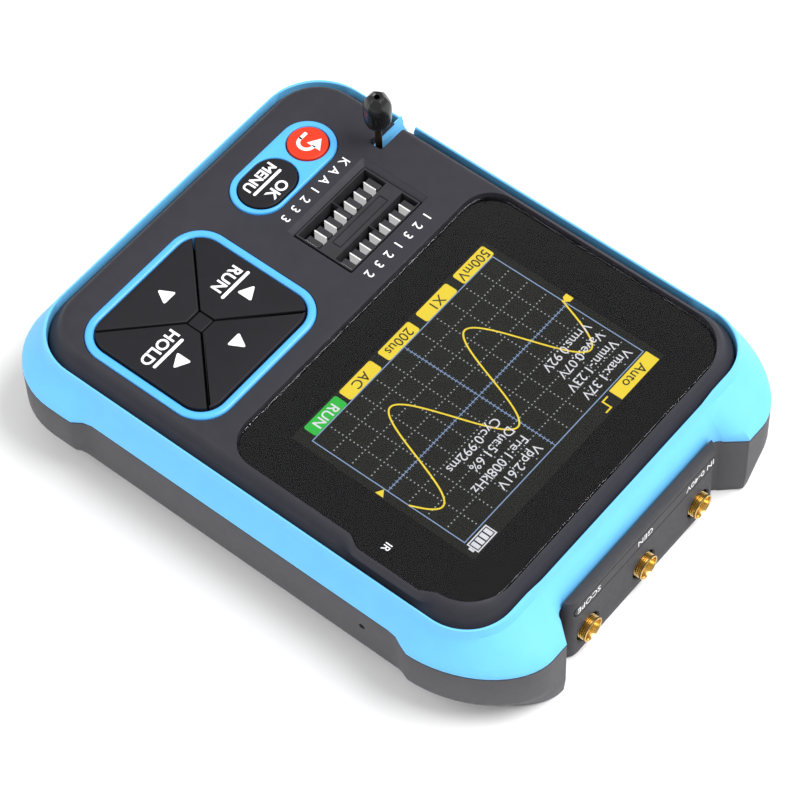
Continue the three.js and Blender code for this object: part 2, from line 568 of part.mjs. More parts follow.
// ---- connector end: panel held by an inner flange, and three coaxial jacks
function connectorPanel() {
  const { half, y0, y1, z0, z1, ledgeY, cornerR, flange } = PANEL;
  const shape = new THREE.Shape();
  shape.moveTo(-flange.half, flange.y0);
  shape.lineTo(flange.half, flange.y0);
  shape.lineTo(flange.half, flange.y1);
  shape.lineTo(half, flange.y1);
  shape.absarc(half - cornerR, y1 - cornerR, cornerR, 0, Math.PI / 2);
  shape.absarc(-half + cornerR, y1 - cornerR, cornerR, Math.PI / 2, Math.PI);
  shape.lineTo(-half, flange.y1);
  shape.lineTo(-flange.half, flange.y1);
  let panel = plate(shape, z0, z1, 4);
  panel = panel.subtract(box(-half - 5, half + 5, 30, y0, -1, flange.z0));
  panel = panel.subtract(box(-half - 5, half + 5, 30, ledgeY, flange.z1, 30));
  return JACK.xs.reduce(
    (piece, x) => piece.subtract(cylinderAlongY(x, JACK.z, JACK.panelHoleR, 40, 60, 14)),
    panel,
  );
}
add("connector_panel", connectorPanel(), "blackPlastic");
for (const [i, name] of ["gen", "mid", "scope"].entries()) {
  const x = JACK.xs[i];
  const block = box(x - 2.6, x + 2.6, 38, 43.6, JACK.z - 2.5, JACK.z + 2.5);
  const barrel = cylinderAlongY(x, JACK.z, JACK.barrelR, 43.5, JACK.face, 16);
  const bore = cylinderAlongY(x, JACK.z, JACK.boreR, 40, 60, 14);
  add("jack_body_" + name, block.add(barrel).subtract(bore), "gold");
  const pinHole = cylinderAlongY(x, JACK.z, 0.6, 30, 60, 10);
  const insulator = cylinderAlongY(x, JACK.z, JACK.boreR - 0.1, 40.2, 46.2, 14);
  add("jack_insulator_" + name, insulator.subtract(pinHole), "white");
  add("jack_pin_" + name, cylinderAlongY(x, JACK.z, 0.45, 40.2, 50.4, 10), "gold");
}

// ---- screws: case screws from below, board screws into the front plate's posts
function screw(x, y, zHead, headR, headH, shankR, length) {
  const profile = [
    [0, zHead],
    [headR, zHead],
    [headR, zHead + headH],
    [shankR, zHead + headH],
    [shankR, zHead + headH + length],
    [0, zHead + headH + length],
  ];
  const driveA = box(x - 0.25, x + 0.25, y - 1.1, y + 1.1, zHead - 1, zHead + 0.7);
  const driveB = box(x - 1.1, x + 1.1, y - 0.25, y + 0.25, zHead - 1, zHead + 0.7);
  return turned(x, y, profile, 12).subtract(driveA).subtract(driveB);
}
SCREWS.forEach(([x, y], i) => add("case_screw_" + (i + 1), screw(x, y, 4.4, 1.9, 1.5, 0.8, 13), "steel"));
BOARD_SCREWS.map(onFront).forEach(([x, y], i) => {
  addFront("board_screw_" + (i + 1), screw(x, y, 11, 1.7, 1.3, 0.8, 6), "steel");
});

export default device;
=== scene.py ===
"""Looks of a handheld oscilloscope: every length in the tables below is in millimetres."""
import math

import bmesh
import bpy
from mathutils import Matrix, Vector


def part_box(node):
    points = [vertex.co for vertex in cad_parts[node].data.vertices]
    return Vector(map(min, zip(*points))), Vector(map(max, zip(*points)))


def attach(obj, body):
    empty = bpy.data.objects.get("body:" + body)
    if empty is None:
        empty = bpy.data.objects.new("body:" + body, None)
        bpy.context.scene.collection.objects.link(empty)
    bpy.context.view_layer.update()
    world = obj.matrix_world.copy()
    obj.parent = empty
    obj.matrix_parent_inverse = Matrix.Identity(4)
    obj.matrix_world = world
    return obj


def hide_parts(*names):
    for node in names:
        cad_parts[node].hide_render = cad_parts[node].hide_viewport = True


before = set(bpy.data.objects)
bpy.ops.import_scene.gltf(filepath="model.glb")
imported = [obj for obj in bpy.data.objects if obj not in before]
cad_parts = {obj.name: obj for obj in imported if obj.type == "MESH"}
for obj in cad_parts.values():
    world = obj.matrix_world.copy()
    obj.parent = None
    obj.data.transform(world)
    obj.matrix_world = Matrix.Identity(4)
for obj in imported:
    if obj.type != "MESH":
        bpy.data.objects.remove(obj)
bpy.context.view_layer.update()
MM = 0.001
SCENE = bpy.context.scene
SCENE.view_settings.view_transform = "Standard"


# ---- places taken from the frame
# The front assembly is drawn about its own origin, where the display's top face is at
# DISPLAY_TOP and its middle at DISPLAY_Y; place() then moves each front piece by FRONT_AT.
DISPLAY_Y = 16.3
DISPLAY_TOP = 20.7


def node_box(name):
    low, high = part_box(name)
    return low / MM, high / MM


def middle(low, high):
    return (low + high) / 2


LCD_BOX = node_box("lcd_panel")
FRONT_AT = Vector((0, middle(*LCD_BOX).y - DISPLAY_Y, LCD_BOX[1].z - DISPLAY_TOP))


def front_box(name):
    low, high = node_box(name)
    return low - FRONT_AT, high - FRONT_AT


REAR_LOW, REAR_HIGH = node_box("rear_shell")
BUMP_LOW, BUMP_HIGH = node_box("bumper_frame")
PANEL_LOW, PANEL_HIGH = node_box("connector_panel")
FRONT_LOW, FRONT_HIGH = front_box("front_shell")
LENS_LOW, LENS_HIGH = front_box("display_lens")
LCD_LOW, LCD_HIGH = front_box("lcd_panel")
DPAD_LOW, DPAD_HIGH = front_box("dpad_bezel")
PILL_LOW, PILL_HIGH = front_box("key_bezel")
HUB_LOW, HUB_HIGH = front_box("dpad_hub")
COVER_LOW, COVER_HIGH = front_box("zif_cover")
KNOB_LOW, KNOB_HIGH = front_box("zif_lever_knob")
ROD_LOW, ROD_HIGH = front_box("zif_lever_rod")
KEY_TOP = front_box("key_up")[1].z
FACE = FRONT_HIGH.z
FLANGE = 0.85  # how far the bezels' hidden flanges stand out


# ---- outlines
def arc(cx, cy, r, start, end, count=10):
    angles = [math.radians(start + (end - start) * i / count) for i in range(count + 1)]
    return [(cx + r * math.cos(a), cy + r * math.sin(a)) for a in angles]


def rounded_rect(x0, x1, y0, y1, low_r, high_r=None, count=10):
    high_r = low_r if high_r is None else high_r
    return (
        arc(x1 - low_r, y0 + low_r, low_r, -90, 0, count)
        + arc(x1 - high_r, y1 - high_r, high_r, 0, 90, count)
        + arc(x0 + high_r, y1 - high_r, high_r, 90, 180, count)
        + arc(x0 + low_r, y0 + low_r, low_r, 180, 270, count)
    )


def stadium(cx, cy, half, r, count=24):
    run = half - r
    return arc(cx + run, cy, r, -90, 90, count) + arc(cx - run, cy, r, 90, 270, count)


def circle(cx, cy, r, count=48):
    return arc(cx, cy, r, 0, 360, count)[:-1]


def smooth(t):
    t = min(max(t, 0), 1)
    return t * t * (3 - 2 * t)


EAR_STEP = {"lower": (-35.2, -32.2), "upper": (30.3, 33.8)}
EAR_END = 24.0
RECESS_HALF = 19.9
RECESS_CORNER = ((21.4, 0.35), (21.15, 0.24), (20.6, 0.12), (19.9, 0.04), (18.8, 0.0))
SIDE_STEPS = 46


def ear_share(y):
    """1 where the side swells out at a corner, 0 along the middle of the side."""
    low = 1 - min(max((y - EAR_STEP["lower"][0]) / 3.0, 0), 1)
    high = min(max((y - EAR_STEP["upper"][0]) / 3.5, 0), 1)
    return max(low, high) ** 1.7


def case_outline(mid, ear, bottom, top, recess, lower_r, upper_x, upper_y, power=1.0, tab=0.0):
    """The case from above: swelling corners, and a recess between them at the connector end."""
    right = arc(ear - lower_r, bottom + lower_r, lower_r, -90, 0, 14)
    y0, y1 = bottom + lower_r, top - upper_y
    for i in range(1, SIDE_STEPS):
        y = y0 + (y1 - y0) * i / SIDE_STEPS
        right.append((mid + (ear - mid) * ear_share(y), y))
    for i in range(17):
        a = math.radians(90 * i / 16)
        x = ear - upper_x + upper_x * abs(math.cos(a)) ** power
        right.append((x, top - upper_y + upper_y * abs(math.sin(a)) ** power))
    right.append((EAR_END, top))
    right += [(x, recess + (top - recess) * rise) for x, rise in RECESS_CORNER]
    left = [(-x, y) for x, y in reversed(right)]
    if tab:
        swell = [tab * smooth((y - 17.0) / 3) * smooth((34.6 - y) / 2.6) for _, y in right]
        right = [(x + s, y) for (x, y), s in zip(right, swell)]
    return right + left


MID = 39.0
EAR = REAR_HIGH.x
CASE = {"mid": MID, "ear": EAR, "bottom": REAR_LOW.y, "top": REAR_HIGH.y, "recess": 48.2}
CORNER = {"lower_r": 13, "upper_x": 13, "upper_y": 18.5, "power": 1.1}
EDGE = {"half": FRONT_HIGH.x + 0.4, "bottom": FRONT_LOW.y - 0.4, "top": FRONT_HIGH.y + 0.4}


def body_ring(**changes):
    return case_outline(**{**CASE, **CORNER, **changes})


def front_ring(inset, tab=0.0):
    half = EDGE["half"] - inset
    top = EDGE["top"] - inset
    upper = max(9 - inset, 1)
    lower = max(10.5 - inset, 1)
    return case_outline(half, half, EDGE["bottom"] + inset, top, top, lower, upper, upper, 1.0, tab)


def lens_outline(grow):
    """The display window, with a shallow tab on its right side."""
    half = 33.2 + grow
    low, high = LENS_LOW.y - grow, LENS_HIGH.y + grow
    right = arc(half - 5.5 - grow, low + 5.5 + grow, 5.5 + grow, -90, 0)
    for i in range(1, 40):
        y = low + 6.5 + (high - low - 15) * i / 40
        step = smooth((y - 17.4 + grow) / 2.9) * smooth((34.0 + grow - y) / 2.2)
        right.append((half + 1.4 * step, y))
    upper = 7.5 + grow
    left = arc(-half + upper, high - upper, upper, 90, 180)
    left += arc(-half + 5.5 + grow, low + 5.5 + grow, 5.5 + grow, 180, 270)
    return right + arc(half - upper, high - upper, upper, 0, 90) + left


def clip(points, origin, normal):
    """The part of a convex outline on the side of a line that its normal points to."""
    kept = []
    for i, p in enumerate(points):
        q = points[(i + 1) % len(points)]
        dp = (p[0] - origin[0]) * normal[0] + (p[1] - origin[1]) * normal[1]
        dq = (q[0] - origin[0]) * normal[0] + (q[1] - origin[1]) * normal[1]
        if dp >= 0:
            kept.append(p)
        if (dp >= 0) != (dq >= 0):
            t = dp / (dp - dq)
            kept.append((p[0] + (q[0] - p[0]) * t, p[1] + (q[1] - p[1]) * t))
    return kept


# ---- meshes
def link(obj):
    SCENE.collection.objects.link(obj)
    return obj


def finish_mesh(obj, angle=32):
    """Cleans a mesh, and shades it smooth up to that angle between faces, in degrees."""
    mesh = obj.data
    work = bmesh.new()
    work.from_mesh(mesh)
    bmesh.ops.remove_doubles(work, verts=work.verts, dist=2e-6)
    bmesh.ops.dissolve_degenerate(work, dist=1e-6, edges=work.edges)
    bmesh.ops.recalc_face_normals(work, faces=work.faces)
    work.to_mesh(mesh)
    work.free()
    mesh.shade_smooth()
    mesh.set_sharp_from_angle(angle=math.radians(angle))
    return obj


def mesh_object(name, verts, faces, angle=32):
    mesh = bpy.data.meshes.new(name)
    mesh.from_pydata([Vector(v) * MM for v in verts], [], faces)
    return finish_mesh(link(bpy.data.objects.new(name, mesh)), angle)


def loft(name, rings, closed=False, angle=32):
    """A solid through rings of (x, y, z); a closed one joins its last ring to its first."""
    count = len(rings[0])
    verts = [p for ring in rings for p in ring]
    faces = []
    levels = len(rings)
    for level in range(levels if closed else levels - 1):
        for i in range(count):
            j = (i + 1) % count
            a, b = level * count, ((level + 1) % levels) * count
            faces.append((a + i, a + j, b + j, b + i))
    if not closed:
        faces.append(tuple(reversed(range(count))))
        faces.append(tuple(range((levels - 1) * count, levels * count)))
    return mesh_object(name, verts, faces, angle)


def at(outline, z):
    return [(x, y, z) for x, y in outline]


def turned(name, profile, count=48, angle=32):
    """A turned piece about Z: the profile is (radius, z) and closes on itself or on the axis."""
    rings = []
    for i in range(count):
        a = 2 * math.pi * i / count
        rings.append([(r * math.cos(a), r * math.sin(a), z) for r, z in profile])
    return loft(name, rings, closed=True, angle=angle)


def evaluated(obj):
    """Puts the result of an object's modifiers into its mesh."""
    graph = bpy.context.evaluated_depsgraph_get()
    mesh = bpy.data.meshes.new_from_object(obj.evaluated_get(graph))
    obj.modifiers.clear()
    obj.data = mesh
    return obj


def cut(obj, cutters, operation="DIFFERENCE", angle=32):
    """Cuts every cutter out of obj, or joins it to obj, and removes the cutters."""
    group = bpy.data.collections.new("cutters")
    SCENE.collection.children.link(group)
    for cutter in cutters:
        group.objects.link(cutter)
    step = obj.modifiers.new("cut", "BOOLEAN")
    step.operation = operation
    step.operand_type = "COLLECTION"
    step.collection = group
    step.solver = "EXACT"
    evaluated(obj)
    for cutter in cutters:
        bpy.data.objects.remove(cutter)
    bpy.data.collections.remove(group)
    return finish_mesh(obj, angle)


def plate(name, outlines, z0, z1, bevel=0.15, rounds=3, angle=32):
    """A flat piece with rounded rims; the first outline is the outside, the others are holes."""
    curve = bpy.data.curves.new(name, "CURVE")
    curve.dimensions = "2D"
    curve.fill_mode = "BOTH"
    curve.extrude = max((z1 - z0) / 2 - bevel, 0) * MM
    curve.bevel_depth = bevel * MM
    curve.bevel_resolution = rounds
    curve.offset = -bevel * MM
    for outline in outlines:
        spline = curve.splines.new("POLY")
        spline.points.add(len(outline) - 1)
        for point, (x, y) in zip(spline.points, outline):
            point.co = (x * MM, y * MM, 0, 1)
        spline.use_cyclic_u = True
    source = link(bpy.data.objects.new(name, curve))
    graph = bpy.context.evaluated_depsgraph_get()
    mesh = bpy.data.meshes.new_from_object(source.evaluated_get(graph))
    mesh.transform(Matrix.Translation((0, 0, (z0 + z1) / 2 * MM)))
    bpy.data.objects.remove(source)
    mesh.name = name
    return finish_mesh(link(bpy.data.objects.new(name, mesh)), angle)


def prism(outline, z0, z1):
    """A straight cutter with that outline."""
    return loft("cutter", [at(outline, z) for z in (z0, z1)])


def drill(levels, x=0, y=0, count=40):
    """A round cutter; its levels are (radius, z)."""
    return loft("cutter", [at(circle(x, y, r, count), z) for r, z in levels])


def box(name, x0, x1, y0, y1, z0, z1):
    return loft(name, [at([(x0, y0), (x1, y0), (x1, y1), (x0, y1)], z) for z in (z0, z1)])


def flared_cutter(outline_at, z0, lip, flare):
    """A cutter whose hole has a rounded rim of that radius at height lip."""
    levels = [(0, z0), (0, lip - flare)]
    for i in range(1, 5):
        a = math.radians(90 * i / 4)
        levels.append((flare * (1 - math.cos(a)), lip - flare + flare * math.sin(a)))
    levels.append((flare, lip + 4))
    return loft("cutter", [at(outline_at(grow), z) for grow, z in levels])


def shift(x, y, z=0.0):
    return Matrix.Translation(Vector((x, y, z)) * MM)


def move(obj, matrix):
    obj.data.transform(matrix)
    return obj


def along_y(obj, x, y, z):
    """Turns a piece made about Z so that its top faces +Y, and puts its origin at (x, y, z)."""
    turn = Matrix.Rotation(math.radians(-90), 4, "X")
    return move(obj, Matrix.Translation(Vector((x, y, z)) * MM) @ turn)


def join(name, pieces):
    """Several meshes as one object."""
    work = bmesh.new()
    for piece in pieces:
        work.from_mesh(piece.data)
        bpy.data.objects.remove(piece)
    mesh = bpy.data.meshes.new(name)
    work.to_mesh(mesh)
    work.free()
    mesh.shade_smooth()
    mesh.set_sharp_from_angle(angle=math.radians(32))
    return link(bpy.data.objects.new(name, mesh))


def place(obj, finish, body="case", replaces=(), front=True):
    """Completes a piece: its material, the body that carries it and the CAD nodes it stands for."""
    obj.data.materials.clear()
    obj.data.materials.append(finish.material)
    if front:
        move(obj, Matrix.Translation(FRONT_AT * MM))
    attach(obj, body)
    if replaces:
        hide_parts(*replaces)
    return obj


# ---- materials
def srgb(r, g, b):
    """An 8-bit screen colour as linear light."""
    def linear(c):
        c /= 255
        return c / 12.92 if c <= 0.04045 else ((c + 0.055) / 1.055) ** 2.4
    return linear(r), linear(g), linear(b), 1.0


def shade(colour, factor):
    return tuple(c * factor for c in colour[:3]) + (1.0,)


class Finish:
    """A procedural material: colour mottling, grain in the bump and uneven roughness."""

    def __init__(self, name, **sockets):
        self.material = bpy.data.materials.new(name)
        self.material.use_nodes = True
        self.nodes = self.material.node_tree.nodes
        self.links = self.material.node_tree.links
        self.shader = self.nodes["Principled BSDF"]
        self.where = self.nodes.new("ShaderNodeTexCoord").outputs["Object"]
        self.set(**sockets)

    def set(self, **sockets):
        for key, value in sockets.items():
            self.shader.inputs[key.replace("_", " ")].default_value = value
        return self

    def noise(self, size, detail=3, stretch=(1, 1, 1)):
        """Noise whose features are size millimetres across."""
        scale = self.nodes.new("ShaderNodeMapping")
        scale.inputs["Scale"].default_value = stretch
        self.links.new(self.where, scale.inputs["Vector"])
        noise = self.nodes.new("ShaderNodeTexNoise")
        noise.inputs["Scale"].default_value = 1 / (size * MM)
        noise.inputs["Detail"].default_value = detail
        self.links.new(scale.outputs["Vector"], noise.inputs["Vector"])
        return noise.outputs["Fac"]

    def ramp(self, source, low, high, start=0.3, end=0.7):
        ramp = self.nodes.new("ShaderNodeValToRGB")
        ramp.color_ramp.elements[0].position = start
        ramp.color_ramp.elements[1].position = end
        ramp.color_ramp.elements[0].color = low
        ramp.color_ramp.elements[1].color = high
        self.links.new(source, ramp.inputs["Fac"])
        return ramp.outputs["Color"]

    def colour(self, base, size=2.5, amount=0.06, stretch=(1, 1, 1)):
        mottle = self.noise(size, 4, stretch)
        tones = self.ramp(mottle, shade(base, 1 - amount), shade(base, 1 + amount))
        self.links.new(tones, self.shader.inputs["Base Color"])
        return self

    def rough(self, low, high, size=1.2, stretch=(1, 1, 1)):
        spread = self.nodes.new("ShaderNodeMapRange")
        spread.inputs["To Min"].default_value = low
        spread.inputs["To Max"].default_value = high
        self.links.new(self.noise(size, 3, stretch), spread.inputs["Value"])
        self.links.new(spread.outputs["Result"], self.shader.inputs["Roughness"])
        return self

    def grain(self, size, depth, strength=0.5, stretch=(1, 1, 1)):
        """A bump of that depth, in millimetres."""
        bump = self.nodes.new("ShaderNodeBump")
        bump.inputs["Strength"].default_value = strength
        bump.inputs["Distance"].default_value = depth * MM
        self.links.new(self.noise(size, 2, stretch), bump.inputs["Height"])
        self.links.new(bump.outputs["Normal"], self.shader.inputs["Normal"])
        return self

    def glow(self, colour, strength):
        return self.set(Emission_Color=colour, Emission_Strength=strength)


def plastic(name, base, mottle=0.07, rough=(0.5, 0.64), specular=0.3, grain=(0.28, 0.02, 0.45)):
    finish = Finish(name, Specular_IOR_Level=specular)
    return finish.colour(base, 3, mottle).rough(*rough).grain(*grain)


shell_finish = plastic("shell_black", srgb(46, 45, 52), specular=0.28)
panel_finish = plastic("panel_black", srgb(52, 51, 55), specular=0.3)
grey_finish = plastic("shell_grey", srgb(76, 75, 79), 0.05)
blue_finish = plastic("bumper_blue", srgb(112, 196, 250), 0.02, (0.44, 0.54), 0.2, (0.35, 0.01, 0.3))
bezel_finish = plastic("bezel_blue", srgb(84, 176, 250), 0.03, (0.28, 0.36), 0.4, (0.4, 0.008, 0.25))
key_finish = plastic("key_black", srgb(24, 23, 28), 0.08, (0.48, 0.6), 0.25, (0.2, 0.012, 0.4))
knob_finish = plastic("knob_black", srgb(20, 20, 21), 0.1, (0.2, 0.34), 0.5, (0.25, 0.02, 0.5))
red_finish = plastic("key_red", srgb(226, 56, 28), 0.05, (0.34, 0.46), 0.3, (0.25, 0.01, 0.3))
socket_finish = plastic("socket_grey", srgb(46, 46, 50), 0.14, (0.45, 0.62), 0.3, (0.12, 0.015, 0.6))
# Near-black print; the same material also lines the socket's floor as painted shade.
black_print_and_painted_shade = plastic("window_print", srgb(8, 8, 9), 0.1, (0.6, 0.7), 0.0, (0.4, 0.004, 0.2))
white_finish = plastic("legend_white", srgb(240, 240, 242), 0.02, (0.5, 0.62), 0.2, (0.08, 0.004, 0.3))
gold_finish = Finish("jack_gold", Metallic=1.0).colour(srgb(214, 182, 112), 0.8, 0.12).rough(0.16, 0.3, 0.5)
gold_finish.grain(0.2, 0.006, 0.3, (1, 0.2, 1))
steel_finish = Finish("lever_steel", Metallic=1.0).colour(srgb(110, 92, 74), 0.7, 0.16).rough(0.26, 0.42, 0.5)
steel_finish.grain(0.12, 0.008, 0.4, (1, 1, 0.15))
# Tin with a white glow: the emission is a painted glint, so the blades read as bright lines.
tin_with_painted_glint = Finish("contact_tin_painted_glint", Metallic=1.0).colour(srgb(240, 238, 232), 0.5, 0.05)
tin_with_painted_glint.rough(0.2, 0.32, 0.4).grain(0.15, 0.004, 0.3).glow(srgb(255, 255, 255), 0.45)
screw_finish = Finish("screw_steel", Metallic=1.0).colour(srgb(120, 120, 124), 0.6, 0.1)
screw_finish.rough(0.28, 0.42, 0.4).grain(0.2, 0.006, 0.4)
cream_finish = plastic("insulator_white", srgb(226, 222, 208), 0.04, (0.4, 0.55), 0.4, (0.15, 0.006, 0.3))
board_finish = plastic("board_green", srgb(22, 84, 48), 0.16, (0.3, 0.45), 0.5, (0.5, 0.01, 0.4))
foil_finish = Finish("foil_wrap", Metallic=0.6).colour(srgb(176, 179, 184), 4, 0.07).rough(0.3, 0.45)
foil_finish.grain(1.4, 0.03, 0.4)
port_finish = Finish("port_nickel", Metallic=1.0).colour(srgb(190, 190, 192), 0.8, 0.06)
port_finish.rough(0.22, 0.34, 0.5).grain(0.2, 0.004, 0.3, (1, 0.1, 1))
glass_finish = Finish("window_glass", Transmission_Weight=1.0, IOR=1.3)
glass_finish.colour(srgb(236, 236, 240), 6, 0.01).rough(0.0, 0.02, 6)
lcd_finish = plastic("screen_olive", srgb(10, 10, 8), 0.12, (0.4, 0.5), 0.0, (0.15, 0.002, 0.3))
lcd_finish.glow(srgb(40, 41, 34), 0.6)
grid_finish = plastic("screen_grid", srgb(40, 44, 56), 0.06, (0.4, 0.5), 0.0, (0.15, 0.002, 0.3))
grid_finish.glow(srgb(150, 178, 214), 0.95)
dot_finish = plastic("screen_dots", srgb(44, 44, 44), 0.06, (0.4, 0.5), 0.0, (0.15, 0.002, 0.3))
dot_finish.glow(srgb(196, 204, 206), 0.95)


def screen_ink(name, colour, strength=0.9):
    return Finish(name).colour(shade(colour, 0.2), 0.15, 0.08).rough(0.4, 0.5).glow(colour, strength)


yellow_ink = screen_ink("screen_yellow", srgb(255, 226, 44))
green_ink = screen_ink("screen_green", srgb(34, 196, 58))
text_ink = screen_ink("screen_white", srgb(236, 236, 238))
dark_ink = Finish("screen_dark").colour(srgb(20, 18, 8), 0.3, 0.1).rough(0.4, 0.5)


# ---- casing
PORT = {"half": 4.77, "r": 1.93, "z": 10.87, "face": -50}
PINHOLE = {"x": 37.5, "y": 24.3, "z": 10.0}


def rear_shell():
    """The grey tray: recess for the connectors, inlet, pinhole, and posts round the case screws."""
    rim = REAR_HIGH.z
    outer = [
        (body_ring(mid=34.9, ear=34.9, bottom=-48.9, top=52.2, upper_x=10.5), 0.0),
        (body_ring(mid=35.3, ear=35.3, bottom=-49.3, top=52.4, upper_x=11), 0.06),
        (body_ring(mid=35.8, ear=35.8, bottom=-49.8, top=52.7, upper_x=11.4), 0.5),
        (body_ring(mid=38.6, ear=38.6, bottom=-52.5), 3.9),
        (body_ring(mid=38.95, ear=38.95, bottom=-52.9), 4.5),
        (body_ring(mid=39.0, ear=39.3), 4.9),
        (body_ring(ear=EAR - 0.3), 6.1),
        (body_ring(), 6.9),
        (body_ring(), rim - 0.2),
        (body_ring(mid=MID - 0.06, ear=EAR - 0.06), rim - 0.06),
        (body_ring(mid=MID - 0.2, ear=EAR - 0.2), rim),
    ]
    inner = [(front_ring(0.3), rim), (front_ring(0.3), 5.6), (front_ring(4.0), 2.0)]
    rings = [at(o, z) for o, z in outer + inner]
    shell = loft("rear_shell_skin", rings)
    recess = box("cutter", -RECESS_HALF, RECESS_HALF, 44.0, 60, -1, 20)
    port = prism(stadium(0, 0, PORT["half"], PORT["r"]), -8, 4)
    along_y(port, 0, PORT["face"], PORT["z"])
    mouth_rings = [(0, 1.0), (0, 2.6), (0.5, 3.1), (0.5, 6)]
    flare = loft("cutter", [at(stadium(0, 0, PORT["half"] + g, PORT["r"] + g), z) for g, z in mouth_rings])
    move(flare, shift(0, PORT["face"], PORT["z"]) @ Matrix.Rotation(math.radians(90), 4, "X"))
    hole = drill([(0.6, -6), (0.6, 2.0), (0.75, 2.3), (0.75, 5)], count=24)
    move(hole, shift(PINHOLE["x"], PINHOLE["y"], PINHOLE["z"]) @ Matrix.Rotation(math.radians(90), 4, "Y"))
    screws_at = [middle(*node_box(f"case_screw_{i}")) for i in range(1, 5)]
    well = [(2.5, -1), (2.5, 0), (2.2, 0.3), (2.2, 6)]
    cut(shell, [recess, port, flare, hole] + [drill(well, c.x, c.y, 32) for c in screws_at])
    post = [(1.15, 5.9), (3.2, 5.9), (3.2, 13.9), (1.15, 13.9)]
    sleeve = [(2.2, 1.5), (3.2, 1.5), (3.2, 6.1), (2.2, 6.1)]
    posts = []
    for c in screws_at:
        posts += [move(turned("post", profile), shift(c.x, c.y)) for profile in (post, sleeve)]
    place(join("rear_shell_posts", posts), grey_finish, front=False)
    place(shell, grey_finish, replaces=["rear_shell"], front=False)


LEVER_SLOT = {"x1": -28.1, "y0": -29.3, "y1": -26.6, "floor": 14.9}


def slot_outline(grow, y_shift=0.0):
    y0, y1 = LEVER_SLOT["y0"] + y_shift, LEVER_SLOT["y1"] + y_shift
    return rounded_rect(-60, LEVER_SLOT["x1"] + grow, y0 - grow, y1 + grow, 0.5 + grow, count=5)


def bumper():
    """The band between the shells, and the channel that lines the lever's slot."""
    def mix(t, recess):
        """The band's outline, from the rear shell's rim at 0 to the front shell's at 1."""
        near = EDGE["half"] + 0.3
        bottom, top = EDGE["bottom"] + FRONT_AT.y - 0.3, EDGE["top"] + FRONT_AT.y + 0.3

        def lerp(outer, inner):
            return outer + (inner - outer) * t

        return case_outline(
            lerp(MID, near),
            lerp(EAR, near),
            lerp(CASE["bottom"], bottom),
            lerp(CASE["top"], top),
            recess,
            lerp(13, 10.5),
            lerp(13, 9),
            lerp(18.5, 9),
            lerp(1.1, 1.0),
        )

    base, top = BUMP_LOW.z, BUMP_HIGH.z
    outer = [
        (mix(0.06, 48.1), base),
        (mix(0.01, 48.2), base + 0.1),
        (mix(0.0, 48.2), base + 0.3),
        (mix(0.015, 48.2), base + 0.7),
        (mix(0.06, 48.1), base + 1.15),
        (mix(0.2, 47.95), base + 1.9),
        (mix(0.4, 47.6), base + 2.9),
        (mix(0.6, 47.2), base + 3.9),
        (mix(0.8, 46.5), base + 5.0),
        (mix(0.94, 46.0), base + 5.75),
        (mix(1.0, 45.75), top - 0.03),
        (mix(1.07, 45.5), top),
    ]

    def hug(grow):
        return [(x, y + FRONT_AT.y) for x, y in front_ring(grow)]

    inner = [(hug(0.02), top - 0.12), (hug(0.1), 18.4), (hug(0.1), base)]
    band = loft("bumper_skin", [at(o, z) for o, z in outer + inner], closed=True)
    wall, x1 = 0.5, LEVER_SLOT["x1"]
    y0, y1 = LEVER_SLOT["y0"] + FRONT_AT.y, -27.0 + FRONT_AT.y
    floor = LEVER_SLOT["floor"] + FRONT_AT.z
    lining = box("lining", -37.2, x1 + wall, y0 - wall, y1, floor - wall, floor + 5.6)
    cut(band, [lining], "UNION")
    levels = [(0, floor), (0, top - 1.2), (0.3, top - 0.5), (0.3, 40)]
    notch = loft("cutter", [at(slot_outline(g, FRONT_AT.y), z) for g, z in levels])
    cut(band, [notch])
    place(band, blue_finish, replaces=["bumper_frame"], front=False)


# the socket's opening below and at the face, as x0, x1, y0, y1
SOCKET_IN = (-24.1, -5.5, -27.0, -14.4)
SOCKET_OUT = (-25.1, -5.15, -28.0, -14.15)


